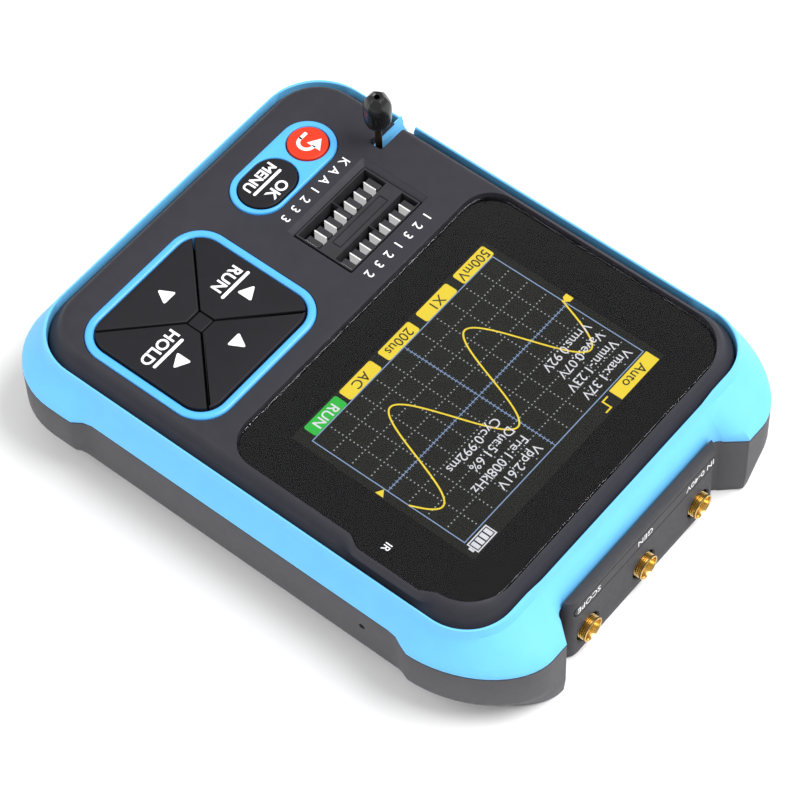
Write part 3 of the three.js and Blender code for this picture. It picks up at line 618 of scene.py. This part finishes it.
def front_shell():
    """The black face: a rolled rim, and openings for screen, keys, socket and lever."""
    # how far in from the edge, how far the side tab stands out, and the height
    outer = [
        (0.42, 0, FRONT_LOW.z),
        (0.4, 0, 18.9),
        (0.44, 0, 19.15),
        (0.6, 0, 19.42),
        (1.0, 0, 20.0),
        (1.3, 0.2, 20.42),
        (1.5, 0.5, 20.66),
        (1.68, 0.8, 20.86),
        (1.85, 1.0, 21.14),
        (2.1, 1.2, 21.6),
        (2.4, 1.3, 22.08),
        (2.7, 1.35, 22.4),
        (3.0, 1.4, 22.6),
        (3.4, 1.4, 22.74),
        (3.9, 1.4, FACE),
        (4.6, 1.4, FACE),
    ]
    rings = [at(front_ring(inset, tab), z) for inset, tab, z in outer]
    inside = [(2.4, FRONT_LOW.z), (2.4, 20.4), (2.8, 20.8)]
    rings = [at(front_ring(inset), z) for inset, z in reversed(inside)] + rings
    shell = loft("front_shell_skin", rings)
    window = rounded_rect(-26, 26, LCD_LOW.y + 1.8, LCD_HIGH.y - 1.8, 1, count=4)
    dpad = middle(DPAD_LOW, DPAD_HIGH)
    half = (DPAD_HIGH - DPAD_LOW) / 2
    pill = middle(PILL_LOW, PILL_HIGH)
    pill_half = (PILL_HIGH - PILL_LOW) / 2

    def dpad_hole(grow):
        x, y = half.x - FLANGE + 0.12 + grow, half.y - FLANGE + 0.12 + grow
        return rounded_rect(dpad.x - x, dpad.x + x, dpad.y - y, dpad.y + y, 6.1 + grow)

    def pill_hole(grow):
        out = 0.12 - FLANGE + grow
        return stadium(pill.x, pill.y, pill_half.x + out, pill_half.y + out)

    slot_levels = [(0, 10), (0, FACE - 0.15), (0.15, FACE), (0.15, 26)]
    funnel = [(SOCKET_IN, 15), (SOCKET_IN, 21.9), (SOCKET_OUT, FACE - 0.04), (SOCKET_OUT, 26)]
    cutters = [
        flared_cutter(lambda g: lens_outline(0.22 + g), 21.0, 22.78, 0.12),
        prism(window, 15, 26),
        prism(circle(31.9, 19, 1.4, 24), 15, 26),
        flared_cutter(dpad_hole, 15, FACE, 0.12),
        flared_cutter(pill_hole, 15, FACE, 0.12),
        loft("cutter", [at(rounded_rect(*b, 0.35, count=4), z) for b, z in funnel]),
        loft("cutter", [at(slot_outline(g), z) for g, z in slot_levels]),
    ]
    x1, y0 = LEVER_SLOT["x1"], LEVER_SLOT["y0"]
    cutters.append(box("cutter", -60, x1 + 0.8, y0 - 0.8, LEVER_SLOT["y1"], 10, 20.8))
    cut(shell, cutters)
    place(shell, shell_finish, replaces=["front_shell"])


PANEL_HALF = 19.6
JACKS = ("gen", "mid", "scope")
LABEL_Z = 13.3


def connector_panel():
    """The dark end plate: three holes, a ledge on top and a groove round its lettering."""
    x, y0, y1 = PANEL_HALF, 45.6, PANEL_HIGH.y
    low, high = PANEL_LOW.z, PANEL_HIGH.z

    def outline(g):
        return rounded_rect(-x + g, x - g, y0, y1 - g, 0.3, 2.2 - g, count=8)

    levels = [(0.25, low), (0.07, low + 0.07), (0, low + 0.25)]
    levels += [(0, high - 0.35), (0.1, high - 0.1), (0.35, high)]
    panel = loft("connector_panel_skin", [at(outline(g), z) for g, z in levels])
    cutters = [box("cutter", -30, 30, 40, 48.7, 14.1, 20)]
    for name in JACKS:
        c = middle(*node_box(f"jack_body_{name}"))
        hole = drill([(2.7, -6), (2.7, -0.25), (2.95, 0), (2.95, 2)])
        cutters.append(along_y(hole, c.x, y1, c.z))
    label = [(PANEL_HALF - 1.1, 1.6), (PANEL_HALF - 1.38, 1.32)]
    groove = plate("cutter", [stadium(0, 0, half, r) for half, r in label], -0.35, 1, 0)
    cutters.append(along_y(groove, 0, y1, LABEL_Z))
    cut(panel, cutters)
    place(panel, panel_finish, replaces=["connector_panel"], front=False)


# ---- window and screen
def window():
    """The clear window, and the black print behind it round the picture."""
    z0, z1 = LENS_LOW.z, LENS_HIGH.z
    levels = [(0, z0), (0, z1 - 0.18), (-0.05, z1 - 0.05), (-0.18, z1)]
    glass = loft("window_glass", [at(lens_outline(g), z) for g, z in levels])
    place(glass, glass_finish, replaces=["display_lens"])
    clear = rounded_rect(-24.75, 24.75, SCREEN_Y - 18.6, SCREEN_Y + 18.6, 0.3, count=3)
    mask = plate("window_print", [lens_outline(-0.02), clear], z0 - 0.06, z0 - 0.01, 0)
    place(mask, black_print_and_painted_shade)


SCREEN_Y = middle(LCD_LOW, LCD_HIGH).y
SCREEN_Z = LCD_HIGH.z + 0.01
DIVISION = 3.825
ACROSS, UP = 12, 8
PERIODS_AT, PERIOD = 0.04, 4.96
AMPLITUDE, OFFSET = 2.38, -0.15


def flat_quads(name, quads, z, thickness=0.02):
    """Thin closed tiles, each given by its four corners (x, y)."""
    verts, faces = [], []
    for quad in quads:
        n = len(verts)
        verts += [(x, y, z) for x, y in quad] + [(x, y, z + thickness) for x, y in quad]
        faces += [(n, n + 3, n + 2, n + 1), (n + 4, n + 5, n + 6, n + 7)]
        faces += [(n + i, n + (i + 1) % 4, n + 4 + (i + 1) % 4, n + 4 + i) for i in range(4)]
    mesh = bpy.data.meshes.new(name)
    mesh.from_pydata([Vector(v) * MM for v in verts], [], faces)
    return link(bpy.data.objects.new(name, mesh))


def tile(cx, cy, w, h):
    corners = ((-1, -1), (1, -1), (1, 1), (-1, 1))
    return [(cx + i * w / 2, cy + j * h / 2) for i, j in corners]


def text(string, size, x, y, z, align="CENTER", bold=0.0, spacing=1.0):
    """Flat lettering as a mesh, its middle or end at (x, y), letters' height about 0.7 of size."""
    curve = bpy.data.curves.new("text", "FONT")
    curve.body = string
    curve.size = size * MM
    curve.align_x = align
    curve.align_y = "CENTER"
    curve.extrude = 0.012 * MM
    curve.offset = bold * MM
    curve.space_character = spacing
    curve.resolution_u = 3
    source = link(bpy.data.objects.new("text", curve))
    graph = bpy.context.evaluated_depsgraph_get()
    mesh = bpy.data.meshes.new_from_object(source.evaluated_get(graph))
    bpy.data.objects.remove(source)
    mesh.transform(shift(x, y, z))
    return link(bpy.data.objects.new("text", mesh))


def screen_point(u, v):
    """A place on the graticule, in divisions from its middle."""
    return u * DIVISION, SCREEN_Y + v * DIVISION


CHIP_HALF = (3.95, 1.3)
CHIP_ROW = 0.35  # from the picture's lower edge up to the chips
CHIPS = (("500mV", -19.7), ("X1", -10.1), ("200us", -0.4), ("AC", 9.3))
RUN_X = 18.0
BADGE = (-23.3, -13.45)
INK_SIZE = {"chip": 2.5, "reading": 2.42}
READING_X = (-21.7, 1.65)
READING_STEP = 2.72
READINGS = (
    ("Vmax:1.37V", "Vpp:2.61V"),
    ("Vmin:-1.23V", "Fre:1.008kHz"),
    ("Vave:0.07V", "Dut:51.6%"),
    ("Vrms:0.92V", "Cyc:0.992ms"),
)


def chip(x0, x1, y, z, corner=0.4):
    outline = rounded_rect(x0, x1, y - CHIP_HALF[1], y + CHIP_HALF[1], corner, count=3)
    return plate("chip", [outline], z, z + 0.03, 0)


def graticule_dots():
    """The dots along the division lines, five to a division."""
    dots = []
    for i in range(-ACROSS // 2 + 1, ACROSS // 2):
        for j in range(-UP * 5 // 2 + 1, UP * 5 // 2):
            if i != 0:
                dots.append(tile(*screen_point(i, j / 5), 0.2, 0.2))
    for j in range(-UP // 2 + 1, UP // 2):
        for i in range(-ACROSS * 5 // 2 + 1, ACROSS * 5 // 2):
            if j != 0 and i % 5 != 0:
                dots.append(tile(*screen_point(i / 5, j), 0.2, 0.2))
    return dots


def graticule_lines():
    """The frame, the two axes and the ticks on them."""
    wide, tall = ACROSS * DIVISION, UP * DIVISION
    line, fine = 0.17, 0.12
    quads = []
    for side in (-1, 1):
        quads.append(tile(side * wide / 2, SCREEN_Y, line, tall + line))
        quads.append(tile(0, SCREEN_Y + side * tall / 2, wide, line))
    quads.append(tile(0, SCREEN_Y, fine, tall))
    quads.append(tile(0, SCREEN_Y, wide, fine))
    for i in range(-ACROSS * 5 // 2 + 1, ACROSS * 5 // 2):
        quads.append(tile(*screen_point(i / 5, 0), fine, 0.62))
    for j in range(-UP * 5 // 2 + 1, UP * 5 // 2):
        quads.append(tile(*screen_point(0, j / 5), 0.62, fine))
    return quads


def trace(z):
    """The wave as a thin ribbon."""
    points = []
    steps = 360
    for i in range(steps + 1):
        u = ACROSS * i / steps
        v = AMPLITUDE * math.sin(2 * math.pi * (u - PERIODS_AT) / PERIOD) + OFFSET
        points.append(Vector(screen_point(u - ACROSS / 2, v)))
    rims = []
    for i, p in enumerate(points):
        ahead = points[min(i + 1, steps)] - points[max(i - 1, 0)]
        side = Vector((-ahead.y, ahead.x)).normalized() * 0.15
        rims.append((p + side, p - side))
    ribbon = [[rims[i][0], rims[i][1], rims[i + 1][1], rims[i + 1][0]] for i in range(steps)]
    return flat_quads("trace", ribbon, z)


def battery(x, y, z):
    quads = [tile(x, y + side * 1.05, 4.5, 0.22) for side in (-1, 1)]
    quads += [tile(x + side * 2.25, y, 0.22, 2.32) for side in (-1, 1)]
    quads += [tile(x + 2.62, y, 0.4, 1.0)]
    quads += [tile(x - 1.56 + 1.04 * i, y, 0.76, 1.5) for i in range(4)]
    return flat_quads("battery_icon", quads, z)


def level_marks(z):
    """The flags at both ends of the trace's zero level."""
    (lx, ly), (rx, ry) = screen_point(-ACROSS / 2, OFFSET), screen_point(ACROSS / 2, OFFSET)
    point = [(lx - 1.5, ly - 0.75), (lx - 0.6, ly - 0.75), (lx, ly), (lx - 0.6, ly + 0.75)]
    tail = [(lx - 1.5, ly - 0.75), (lx - 0.6, ly + 0.75), (lx - 1.5, ly + 0.75), (lx - 1.5, ly)]
    arrow_head = [(rx + 1.4, ry - 0.8), (rx + 1.4, ry + 0.8), (rx + 0.2, ry), (rx, ry)]
    return flat_quads("marks", [point, tail, arrow_head], z)


def rising_edge(x, y, z):
    quads = [tile(x - 0.6, y - 0.85, 1.46, 0.28), tile(x, y, 0.28, 1.98), tile(x + 0.6, y + 0.85, 1.46, 0.28)]
    return flat_quads("edge", quads, z)


def screen():
    """The lit picture as thin layers, each colour its own piece."""
    def show(obj, finish):
        place(obj, finish)

    half_x, half_y = 24.48, 18.36
    edge = rounded_rect(-half_x, half_x, SCREEN_Y - half_y, SCREEN_Y + half_y, 0.1, count=2)
    show(plate("screen_face", [edge], SCREEN_Z, SCREEN_Z + 0.04, 0), lcd_finish)
    z = SCREEN_Z + 0.05
    show(flat_quads("screen_graticule", graticule_lines(), z), grid_finish)
    show(flat_quads("screen_dots", graticule_dots(), z), dot_finish)

    low = SCREEN_Y - half_y + CHIP_ROW + CHIP_HALF[1]
    high = SCREEN_Y + half_y - CHIP_HALF[1] - 0.12
    pieces = [trace(z + 0.03)]
    pieces += [chip(x - CHIP_HALF[0], x + CHIP_HALF[0], low, z) for _, x in CHIPS]
    pieces.append(chip(*BADGE, high, z, 0.05))
    pieces.append(rising_edge(BADGE[1] + 2.3, high, z))
    pieces.append(level_marks(z + 0.02))
    show(join("screen_yellow", pieces), yellow_ink)
    show(chip(RUN_X - CHIP_HALF[0], RUN_X + CHIP_HALF[0], low, z), green_ink)

    dark = [text(label, INK_SIZE["chip"], x, low, z + 0.05, bold=0.01) for label, x in CHIPS]
    dark.append(text("Auto", INK_SIZE["chip"], sum(BADGE) / 2, high, z + 0.05, bold=0.01))
    show(join("screen_dark_text", dark), dark_ink)

    light = [text("RUN", INK_SIZE["chip"], RUN_X, low, z + 0.05, bold=0.03), battery(20.7, high, z + 0.02)]
    for row, words in enumerate(READINGS):
        y = SCREEN_Y + UP / 2 * DIVISION - 2.0 - row * READING_STEP
        for word, x in zip(words, READING_X):
            light.append(text(word, INK_SIZE["reading"], x, y, z + 0.05, "LEFT"))
    show(join("screen_white_text", light), text_ink)


# ---- keys and bezels
def bezels():
    """The two blue rings round the keys, each with a hidden flange."""
    c = middle(DPAD_LOW, DPAD_HIGH)
    half = (DPAD_HIGH - DPAD_LOW) / 2

    def square(out, r):
        x, y = half.x - FLANGE + out, half.y - FLANGE + out
        return rounded_rect(c.x - x, c.x + x, c.y - y, c.y + y, r, count=14)

    ring = []
    for a in range(0, 181, 15):
        across = -0.72 + 0.72 * math.cos(math.radians(a))
        ring.append((across, 22.75 + 0.45 * math.sin(math.radians(a))))
    profile = [(0.85, DPAD_LOW.z), (0.85, 20.7), (0.0, 20.7)] + ring + [(-1.44, DPAD_LOW.z)]
    rings = [at(square(out, max(6.0 + out, 0.5)), z) for out, z in profile]
    piece = loft("dpad_bezel_skin", rings, closed=True)
    place(piece, bezel_finish, replaces=["dpad_bezel"])

    c = middle(PILL_LOW, PILL_HIGH)
    half = (PILL_HIGH - PILL_LOW) / 2
    outline = stadium(c.x, c.y, half.x - FLANGE, half.y - FLANGE, 36)
    body = plate("key_bezel_skin", [outline], PILL_LOW.z, PILL_HIGH.z, 0.35, 4)
    flange = plate("flange", [stadium(c.x, c.y, half.x, half.y, 36)], PILL_LOW.z, 20.7, 0.05)
    cut(body, [flange], "UNION")
    ok = middle(*front_box("ok_menu_key"))
    back = middle(*front_box("back_key"))
    holes = [
        flared_cutter(lambda g: stadium(ok.x, ok.y, 5.72 + g, 4.22 + g, 30), 15, PILL_HIGH.z, 0.25),
        flared_cutter(lambda g: circle(back.x, back.y, 3.72 + g, 56), 15, PILL_HIGH.z, 0.25),
    ]
    place(cut(body, holes), bezel_finish, replaces=["key_bezel"])


def key_cap(name, node, outline, finish):
    """A key with rounded rims, on a plain foot that reaches down to its switch."""
    low, _ = front_box(node)
    cap = plate(name, [outline], 19.3, KEY_TOP, 0.28, 4)
    foot = plate("foot", [outline], low.z, 19.6, 0.05)
    cut(cap, [foot], "UNION")
    place(cap, finish, node, [node])


def arrow(cx, cy, dx, dy, base=3.1, height=2.8, r=0.42):
    """A triangle with rounded corners, pointing along (dx, dy)."""
    tips = [(height * 0.62, 0), (-height * 0.38, base / 2), (-height * 0.38, -base / 2)]
    points = []
    for i, tip in enumerate(tips):
        before, after = Vector(tips[i - 1]), Vector(tips[(i + 1) % 3])
        tip = Vector(tip)
        a = (before - tip).normalized()
        b = (after - tip).normalized()
        start, end = tip + a * r * 1.3, tip + b * r * 1.3
        for k in range(7):
            t = k / 6
            points.append((1 - t) ** 2 * start + 2 * t * (1 - t) * tip + t * t * end)
    return [(cx + p.x * dx - p.y * dy, cy + p.x * dy + p.y * dx) for p in points]


DIRECTIONS = {"up": (0, 1), "down": (0, -1), "left": (-1, 0), "right": (1, 0)}


def keys():
    """Four direction keys cut from one square field, the small post between them, and two more."""
    c = middle(DPAD_LOW, DPAD_HIGH)
    half = (DPAD_HIGH - DPAD_LOW) / 2
    x, y = half.x - FLANGE - 1.72, half.y - FLANGE - 1.72
    field = rounded_rect(c.x - x, c.x + x, c.y - y, c.y + y, 4.3, count=14)
    hub = (HUB_HIGH - HUB_LOW) / 2
    gap = 0.16
    root = math.sqrt(0.5)
    for name, (dx, dy) in DIRECTIONS.items():
        outline = clip(field, (c.x + dx * (hub.x + 0.22), c.y + dy * (hub.y + 0.22)), (dx, dy))
        for side in (-1, 1):
            nx, ny = (dx - side * dy) * root, (dy + side * dx) * root
            outline = clip(outline, (c.x + nx * gap, c.y + ny * gap), (nx, ny))
        key_cap(f"key_{name}_cap", f"key_{name}", outline, key_finish)
    square = rounded_rect(HUB_LOW.x, HUB_HIGH.x, HUB_LOW.y, HUB_HIGH.y, 0.3, count=5)
    post = plate("dpad_hub_post", [square], HUB_LOW.z, 23.25, 0.2)
    place(post, key_finish, replaces=["dpad_hub"])
    ok = middle(*front_box("ok_menu_key"))
    oval = stadium(ok.x, ok.y, 5.5, 4.0, 30)
    key_cap("ok_menu_key_cap", "ok_menu_key", oval, key_finish)
    back = middle(*front_box("back_key"))
    disc = circle(back.x, back.y, 3.5, 56)
    key_cap("back_key_cap", "back_key", disc, red_finish)


def bar(cx, cy, w, h, z):
    return plate("bar", [stadium(cx, cy, w / 2, h / 2, 8)], z, z + 0.025, 0)


# letters, the place of the first one, the step to the next and the row's height on the face
SOCKET_PRINT = (("KAA1233", -22.3, 2.53, -29.9), ("1231232", -21.87, 2.5, -11.9))


def caption(string, size, x, y, z):
    """A word on a key."""
    return text(string, size, x, y, z, bold=0.07)


def legends():
    """White print on the keys, round the socket, on the window and on the connector panel."""
    z = KEY_TOP + 0.005
    ink = white_finish

    def top(outline):
        return plate("mark", [outline], z, z + 0.025, 0)

    marks = {
        "key_up": [top(arrow(16.9, -19.5, 0, 1))],
        "key_down": [top(arrow(17.1, -34.8, 0, -1))],
        "key_left": [
            top(arrow(8.4, -24.6, -1, 0)),
            bar(8.55, -27.2, 6.9, 0.6, z),
            caption("RUN", 2.9, 8.5, -29.2, z),
        ],
        "key_right": [
            top(arrow(25.5, -24.3, 1, 0)),
            bar(25.5, -26.8, 7.2, 0.6, z),
            caption("HOLD", 2.9, 25.5, -28.8, z),
        ],
        "ok_menu_key": [
            caption("OK", 2.9, -10.7, -34.6, z),
            bar(-10.7, -36.75, 7.0, 0.55, z),
            caption("MENU", 2.6, -10.7, -38.6, z),
        ],
    }
    back = middle(*front_box("back_key"))
    x, y = back.x + 0.1, back.y - 0.1
    hook = arc(x, y, 1.75, -100, 100, 20) + arc(x, y, 1.1, 100, -100, 20)
    head = [(back.x + 0.1, back.y + 2.75), (back.x - 2.1, back.y + 1.3), (back.x + 0.1, back.y - 0.1)]
    tail = rounded_rect(back.x - 1.5, back.x + 0.2, back.y - 1.84, back.y - 1.18, 0.2, count=3)
    marks["back_key"] = [top(hook), top(head), top(tail)]
    for node, pieces in marks.items():
        place(join(f"{node}_legend", pieces), ink, node)

    face = FACE + 0.004
    printed = []
    for letters, first, step, y in SOCKET_PRINT:
        for i, letter in enumerate(letters):
            printed.append(text(letter, 2.35, first + step * i, y, face, bold=0.02))
    place(join("face_legend", printed), ink)
    mark = text("IR", 1.9, 31.5, 23.0, LENS_HIGH.z + 0.005)
    place(mark, ink)
    mark.name = "window_legend"

    words = []
    for string, name in zip(("IN 0-40V", "GEN", "SCOPE"), JACKS):
        c = middle(*node_box(f"jack_body_{name}"))
        words.append(along_y(text(string, 2.0, 0, 0, 0.008), c.x, PANEL_HIGH.y, LABEL_Z))
    place(join("panel_legend", words), ink, front=False)


# ---- component socket and lever
PITCH = 2.54
COLUMNS = [-13.7 + PITCH * (i - 3) for i in range(7)]
ROWS = ((-23.6, -22.0), (-16.1, -14.9))  # middle of the contacts, and the side that the blocks reach
BAR = (-21.7, -18.4)


def socket():
    """The clamping socket: two dark rows of blocks and blades on each side of a flat bar."""
    x0, x1, y0, y1 = COVER_LOW.x, COVER_HIGH.x, COVER_LOW.y, COVER_HIGH.y
    top, floor = FACE - 0.5, 19.7
    rim = rounded_rect(x0, x1, y0, y1, 0.2, count=3)
    body = plate("zif_cover_skin", [rim], COVER_LOW.z, top, 0.08, 2)
    left, right = x0 + 0.4, x1 - 0.3
    cutters = [
        box("cutter", left, right, y0 + 0.35, BAR[0], floor, top + 1),
        box("cutter", left, right, BAR[1], y1 - 0.2, floor, top + 1),
    ]
    gx0, gx1, gy0, gy1 = left + 2.6, right - 2.2, BAR[0] + 0.7, BAR[1] - 0.7
    line = 0.22
    inside = rounded_rect(gx0 + line, gx1 - line, gy0 + line, gy1 - line, 0.1)
    groove = [rounded_rect(gx0, gx1, gy0, gy1, 0.2), inside]
    cutters.append(plate("cutter", groove, top - 0.2, top + 1, 0))
    cut(body, cutters)
    blocks, blades = [], []
    for row, end in ROWS:
        for x in COLUMNS:
            low, high = min(row - 1.2, end), max(row + 1.2, end)
            outline = rounded_rect(x - 1.3, x - 0.2, low, high, 0.08, count=2)
            blocks.append(plate("block", [outline], floor - 0.1, top - 0.15, 0.1, 2))
            blade = rounded_rect(x - 0.12, x + 0.12, row - 1.3, row + 1.3, 0.1, count=3)
            blades.append(plate("blade", [blade], floor - 0.2, top - 0.1, 0.05, 2))
    rib_x = (COLUMNS[2] + COLUMNS[3]) / 2 + 0.15
    for low, high in ((y0 + 0.2, BAR[0] + 0.1), (BAR[1] - 0.1, y1 - 0.1)):
        blocks.append(box("rib", rib_x - 0.08, rib_x + 0.08, low, high, floor - 0.1, top - 0.05))
    place(body, socket_finish, replaces=["zif_cover"])
    place(join("zif_blocks", blocks), socket_finish)
    # The blades' material glows: a painted glint on the contacts.
    place(join("zif_contacts", blades), tin_with_painted_glint)
    # A near-black sheet on the socket's floor: painted shade in the deep troughs between the blocks.
    lining = rounded_rect(left + 0.02, right - 0.02, y0 + 0.37, y1 - 0.22, 0.1, count=2)
    well = plate("zif_painted_shade_floor", [lining], floor - 0.28, floor + 0.03, 0)
    place(well, black_print_and_painted_shade)


def lever():
    """The socket's lever: a barrel knob whose top has six flats, on a bent rod."""
    c = middle(KNOB_LOW, KNOB_HIGH)
    z0, z1 = KNOB_LOW.z, KNOB_HIGH.z
    r = KNOB_HIGH.x - c.x
    profile = [(0.64, z0 + 1.0), (0.64, z0 + 0.1), (0.8, z0), (1.15, z0 + 0.06), (1.6, z0 + 0.35)]
    profile += [(2.05, z0 + 0.95), (r - 0.1, z0 + 1.8), (r, z0 + 2.8), (r, z1 - 3.0), (r - 0.04, z1 - 2.2)]
    profile += [(r - 0.22, z1 - 1.4), (r - 0.55, z1 - 0.75), (r - 0.95, z1 - 0.28), (r - 1.3, z1)]
    profile += [(r - 1.5, z1 - 0.05), (0.001, z1 - 0.35)]
    sides, around = 6, 72
    facet = math.pi / sides
    rings = []
    for i in range(around):
        a = 2 * math.pi * i / around
        polygon = math.cos(facet) / math.cos(a % (2 * facet) - facet)
        ring = []
        for radius, z in profile:
            share = smooth((z - z1 + 2.6) / 1.6) * 0.8
            k = radius * (1 - share + share * polygon)
            ring.append((c.x + k * math.cos(a), c.y + k * math.sin(a), z))
        rings.append(ring)
    knob = loft("lever_knob", rings, closed=True, angle=38)
    place(knob, knob_finish, "zif_lever", ["zif_lever_knob"])

    rod_r = (ROD_HIGH.x - ROD_LOW.x) / 2
    x, y, z = c.x, c.y, ROD_LOW.z + rod_r
    bend = 1.1
    turns = [math.radians(15 * i) for i in range(1, 7)]
    path = [(x, ROD_HIGH.y, z), (x, y + bend, z)]
    path += [(x, y + bend - bend * math.sin(a), z + bend - bend * math.cos(a)) for a in turns]
    path.append((x, y, z1 - 2.1))
    round_rod = [math.radians(360 * k / 24) for k in range(24)]
    rings = []
    for i, p in enumerate(path):
        before, after = Vector(path[max(i - 1, 0)]), Vector(path[min(i + 1, len(path) - 1)])
        along = (after - before).normalized()
        u = Vector((1, 0, 0))
        v = along.cross(u)
        rings.append([tuple(Vector(p) + (u * math.cos(t) + v * math.sin(t)) * rod_r) for t in round_rod])
    place(loft("lever_rod", rings), steel_finish, "zif_lever", ["zif_lever_rod"])


# ---- jacks and screws
JACK_R = 2.25
JACK_BORE = 1.8
JACK_BASE = 43.5  # where the barrel leaves its square block


def jack_profile(length):
    """A threaded barrel's section, from its bore round the lip and back down the outside."""
    r = JACK_R
    profile = [(JACK_BORE, -6), (JACK_BORE, length - 0.9), (1.95, length - 0.5), (1.95, length - 0.18)]
    profile += [(2.05, length), (r - 0.1, length), (r, length - 0.1), (r, length - 0.35)]
    for i in range(5):
        z = length - 0.5 - 0.34 * i
        profile += [(r - 0.14, z), (r - 0.14, z - 0.12), (r, z - 0.2)]
    return profile + [(r, -0.2), (r, -6)]


def jack_fingers(name):
    """Four curved springs round the centre pin."""
    springs = []
    for k in range(4):
        spans = [math.radians(90 * k + 10 + 70 * i / 8) for i in range(9)]
        rings = []
        for z, grow in ((-1.0, 0.0), (3.0, 0.0), (5.8, 0.18), (6.5, 0.1)):
            ring = [((1.28 + grow) * math.cos(a), (1.28 + grow) * math.sin(a), z) for a in spans]
            ring += [((1.45 + grow) * math.cos(a), (1.45 + grow) * math.sin(a), z) for a in reversed(spans)]
            rings.append(ring)
        springs.append(loft("spring", rings))
    return join(f"jack_{name}_fingers", springs)


def jacks():
    """Three gold coaxial sockets."""
    for name in JACKS:
        low, high = node_box(f"jack_body_{name}")
        c = middle(low, high)
        barrel = turned("barrel", jack_profile(high.y - JACK_BASE), 56)
        along_y(barrel, c.x, JACK_BASE, c.z)
        block = box("jack_block", low.x, high.x, low.y, JACK_BASE + 0.1, low.z, high.z)
        bore = along_y(drill([(JACK_BORE, -12), (JACK_BORE, 12)]), c.x, JACK_BASE, c.z)
        cut(block, [bore])
        body = join(f"jack_{name}_barrel", [barrel, block])
        place(body, gold_finish, replaces=[f"jack_body_{name}"], front=False)
        fingers = along_y(jack_fingers(name), c.x, JACK_BASE + 0.4, c.z)
        place(fingers, gold_finish, front=False)


def screws():
    """Case screws with a cross recess and a rounded head."""
    for i in range(1, 5):
        low, high = node_box(f"case_screw_{i}")
        c = middle(low, high)
        profile = [(0.001, 0.0), (0.9, 0.02), (1.5, 0.16), (1.82, 0.42), (1.9, 0.75), (1.9, 1.5), (0.8, 1.5)]
        for k in range(14):
            profile += [(0.8, 2.0 + 0.8 * k), (0.62, 2.2 + 0.8 * k), (0.8, 2.4 + 0.8 * k)]
        profile += [(0.8, 14.0), (0.4, high.z - low.z), (0.001, high.z - low.z)]
        piece = move(turned(f"case_screw_{i}_body", profile, 32), shift(c.x, c.y, low.z))
        recess = ((1.25, 0.3, -1), (1.1, 0.24, 0.2), (0.5, 0.16, 0.95))
        cross = []
        for a in (0, 90):
            arm = loft("cutter", [at(tile(0, 0, 2 * w, 2 * n), z) for w, n, z in recess])
            turn = Matrix.Rotation(math.radians(a + 20 * i), 4, "Z")
            cross.append(move(arm, shift(c.x, c.y, low.z) @ turn))
        cut(piece, cross)
        place(piece, screw_finish, replaces=[f"case_screw_{i}"], front=False)


# ---- CAD nodes that keep their shape
def inner_finishes():
    """Materials for the CAD nodes that are shown as they are."""
    table = {
        board_finish: ["front_board", "main_board"],
        foil_finish: ["battery", "lcd_backlight", "reset_switch"],
        port_finish: ["usb_c_shell"],
        key_finish: ["board_connector", "usb_c_tongue", "lcd_carrier"],
        black_print_and_painted_shade: ["lcd_panel", "ir_receiver"],
        cream_finish: ["zif_slider", "zif_cam"] + [f"jack_insulator_{n}" for n in JACKS],
        gold_finish: [f"jack_pin_{n}" for n in JACKS],
        socket_finish: ["zif_base"],
        screw_finish: [f"board_screw_{i}" for i in range(1, 4)],
    }
    for name in [*DIRECTIONS, "ok_menu", "back"]:
        table[foil_finish].append(f"tact_switch_{name}")
        table[key_finish].append(f"tact_plunger_{name}")
    for finish, names in table.items():
        for name in names:
            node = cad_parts[name]
            node.data.materials.clear()
            node.data.materials.append(finish.material)


# ---- stage, light and camera
def stage():
    """A pale floor and an even white surround."""
    side = 12000
    floor = mesh_object("floor", at(tile(0, 0, side, side), -0.02), [(0, 1, 2, 3)])
    finish = Finish("floor_white").colour(srgb(250, 250, 250), 400, 0.004).rough(0.85, 0.95, 40)
    floor.data.materials.append(finish.material)
    world = bpy.data.worlds.new("studio")
    world.use_nodes = True
    world.node_tree.nodes["Background"].inputs["Color"].default_value = (1, 1, 1, 1)
    world.node_tree.nodes["Background"].inputs["Strength"].default_value = 0.6
    SCENE.world = world


def lamp(name, place_at, aim, size, power):
    """A round area lamp, aimed at a point."""
    light = bpy.data.lights.new(name, "AREA")
    light.shape = "DISK"
    light.size = size
    light.energy = power
    obj = link(bpy.data.objects.new(name, light))
    obj.location = place_at
    obj.rotation_euler = (Vector(aim) - Vector(place_at)).to_track_quat("-Z", "Y").to_euler()


CAMERA = {
    "at": (0.241701, 0.21006, 0.471533),
    "right": (-0.62954, 0.77662, -0.02318),
    "forward": (-0.42795, -0.37150, -0.82392),
    "lens": 154.46,
}


def camera():
    """Looks down on the face from beyond the connector end."""
    data = bpy.data.cameras.new("camera")
    data.lens = CAMERA["lens"]
    data.sensor_width = 36
    data.clip_start = 0.01
    data.clip_end = 20
    obj = link(bpy.data.objects.new("camera", data))
    right, forward = Vector(CAMERA["right"]), Vector(CAMERA["forward"])
    up = right.cross(forward).normalized()
    turn = Matrix((right, up, -forward)).transposed().to_4x4()
    obj.matrix_world = Matrix.Translation(Vector(CAMERA["at"])) @ turn
    SCENE.camera = obj


rear_shell()
bumper()
front_shell()
connector_panel()
window()
screen()
bezels()
keys()
legends()
socket()
lever()
jacks()
screws()
inner_finishes()
stage()
lamp("key_light", (-0.35, 0.5, 0.9), (0, 0, 0), 0.8, 13)
lamp("fill_light", (0.7, -0.6, 0.8), (0, 0, 0), 0.9, 5)
camera()
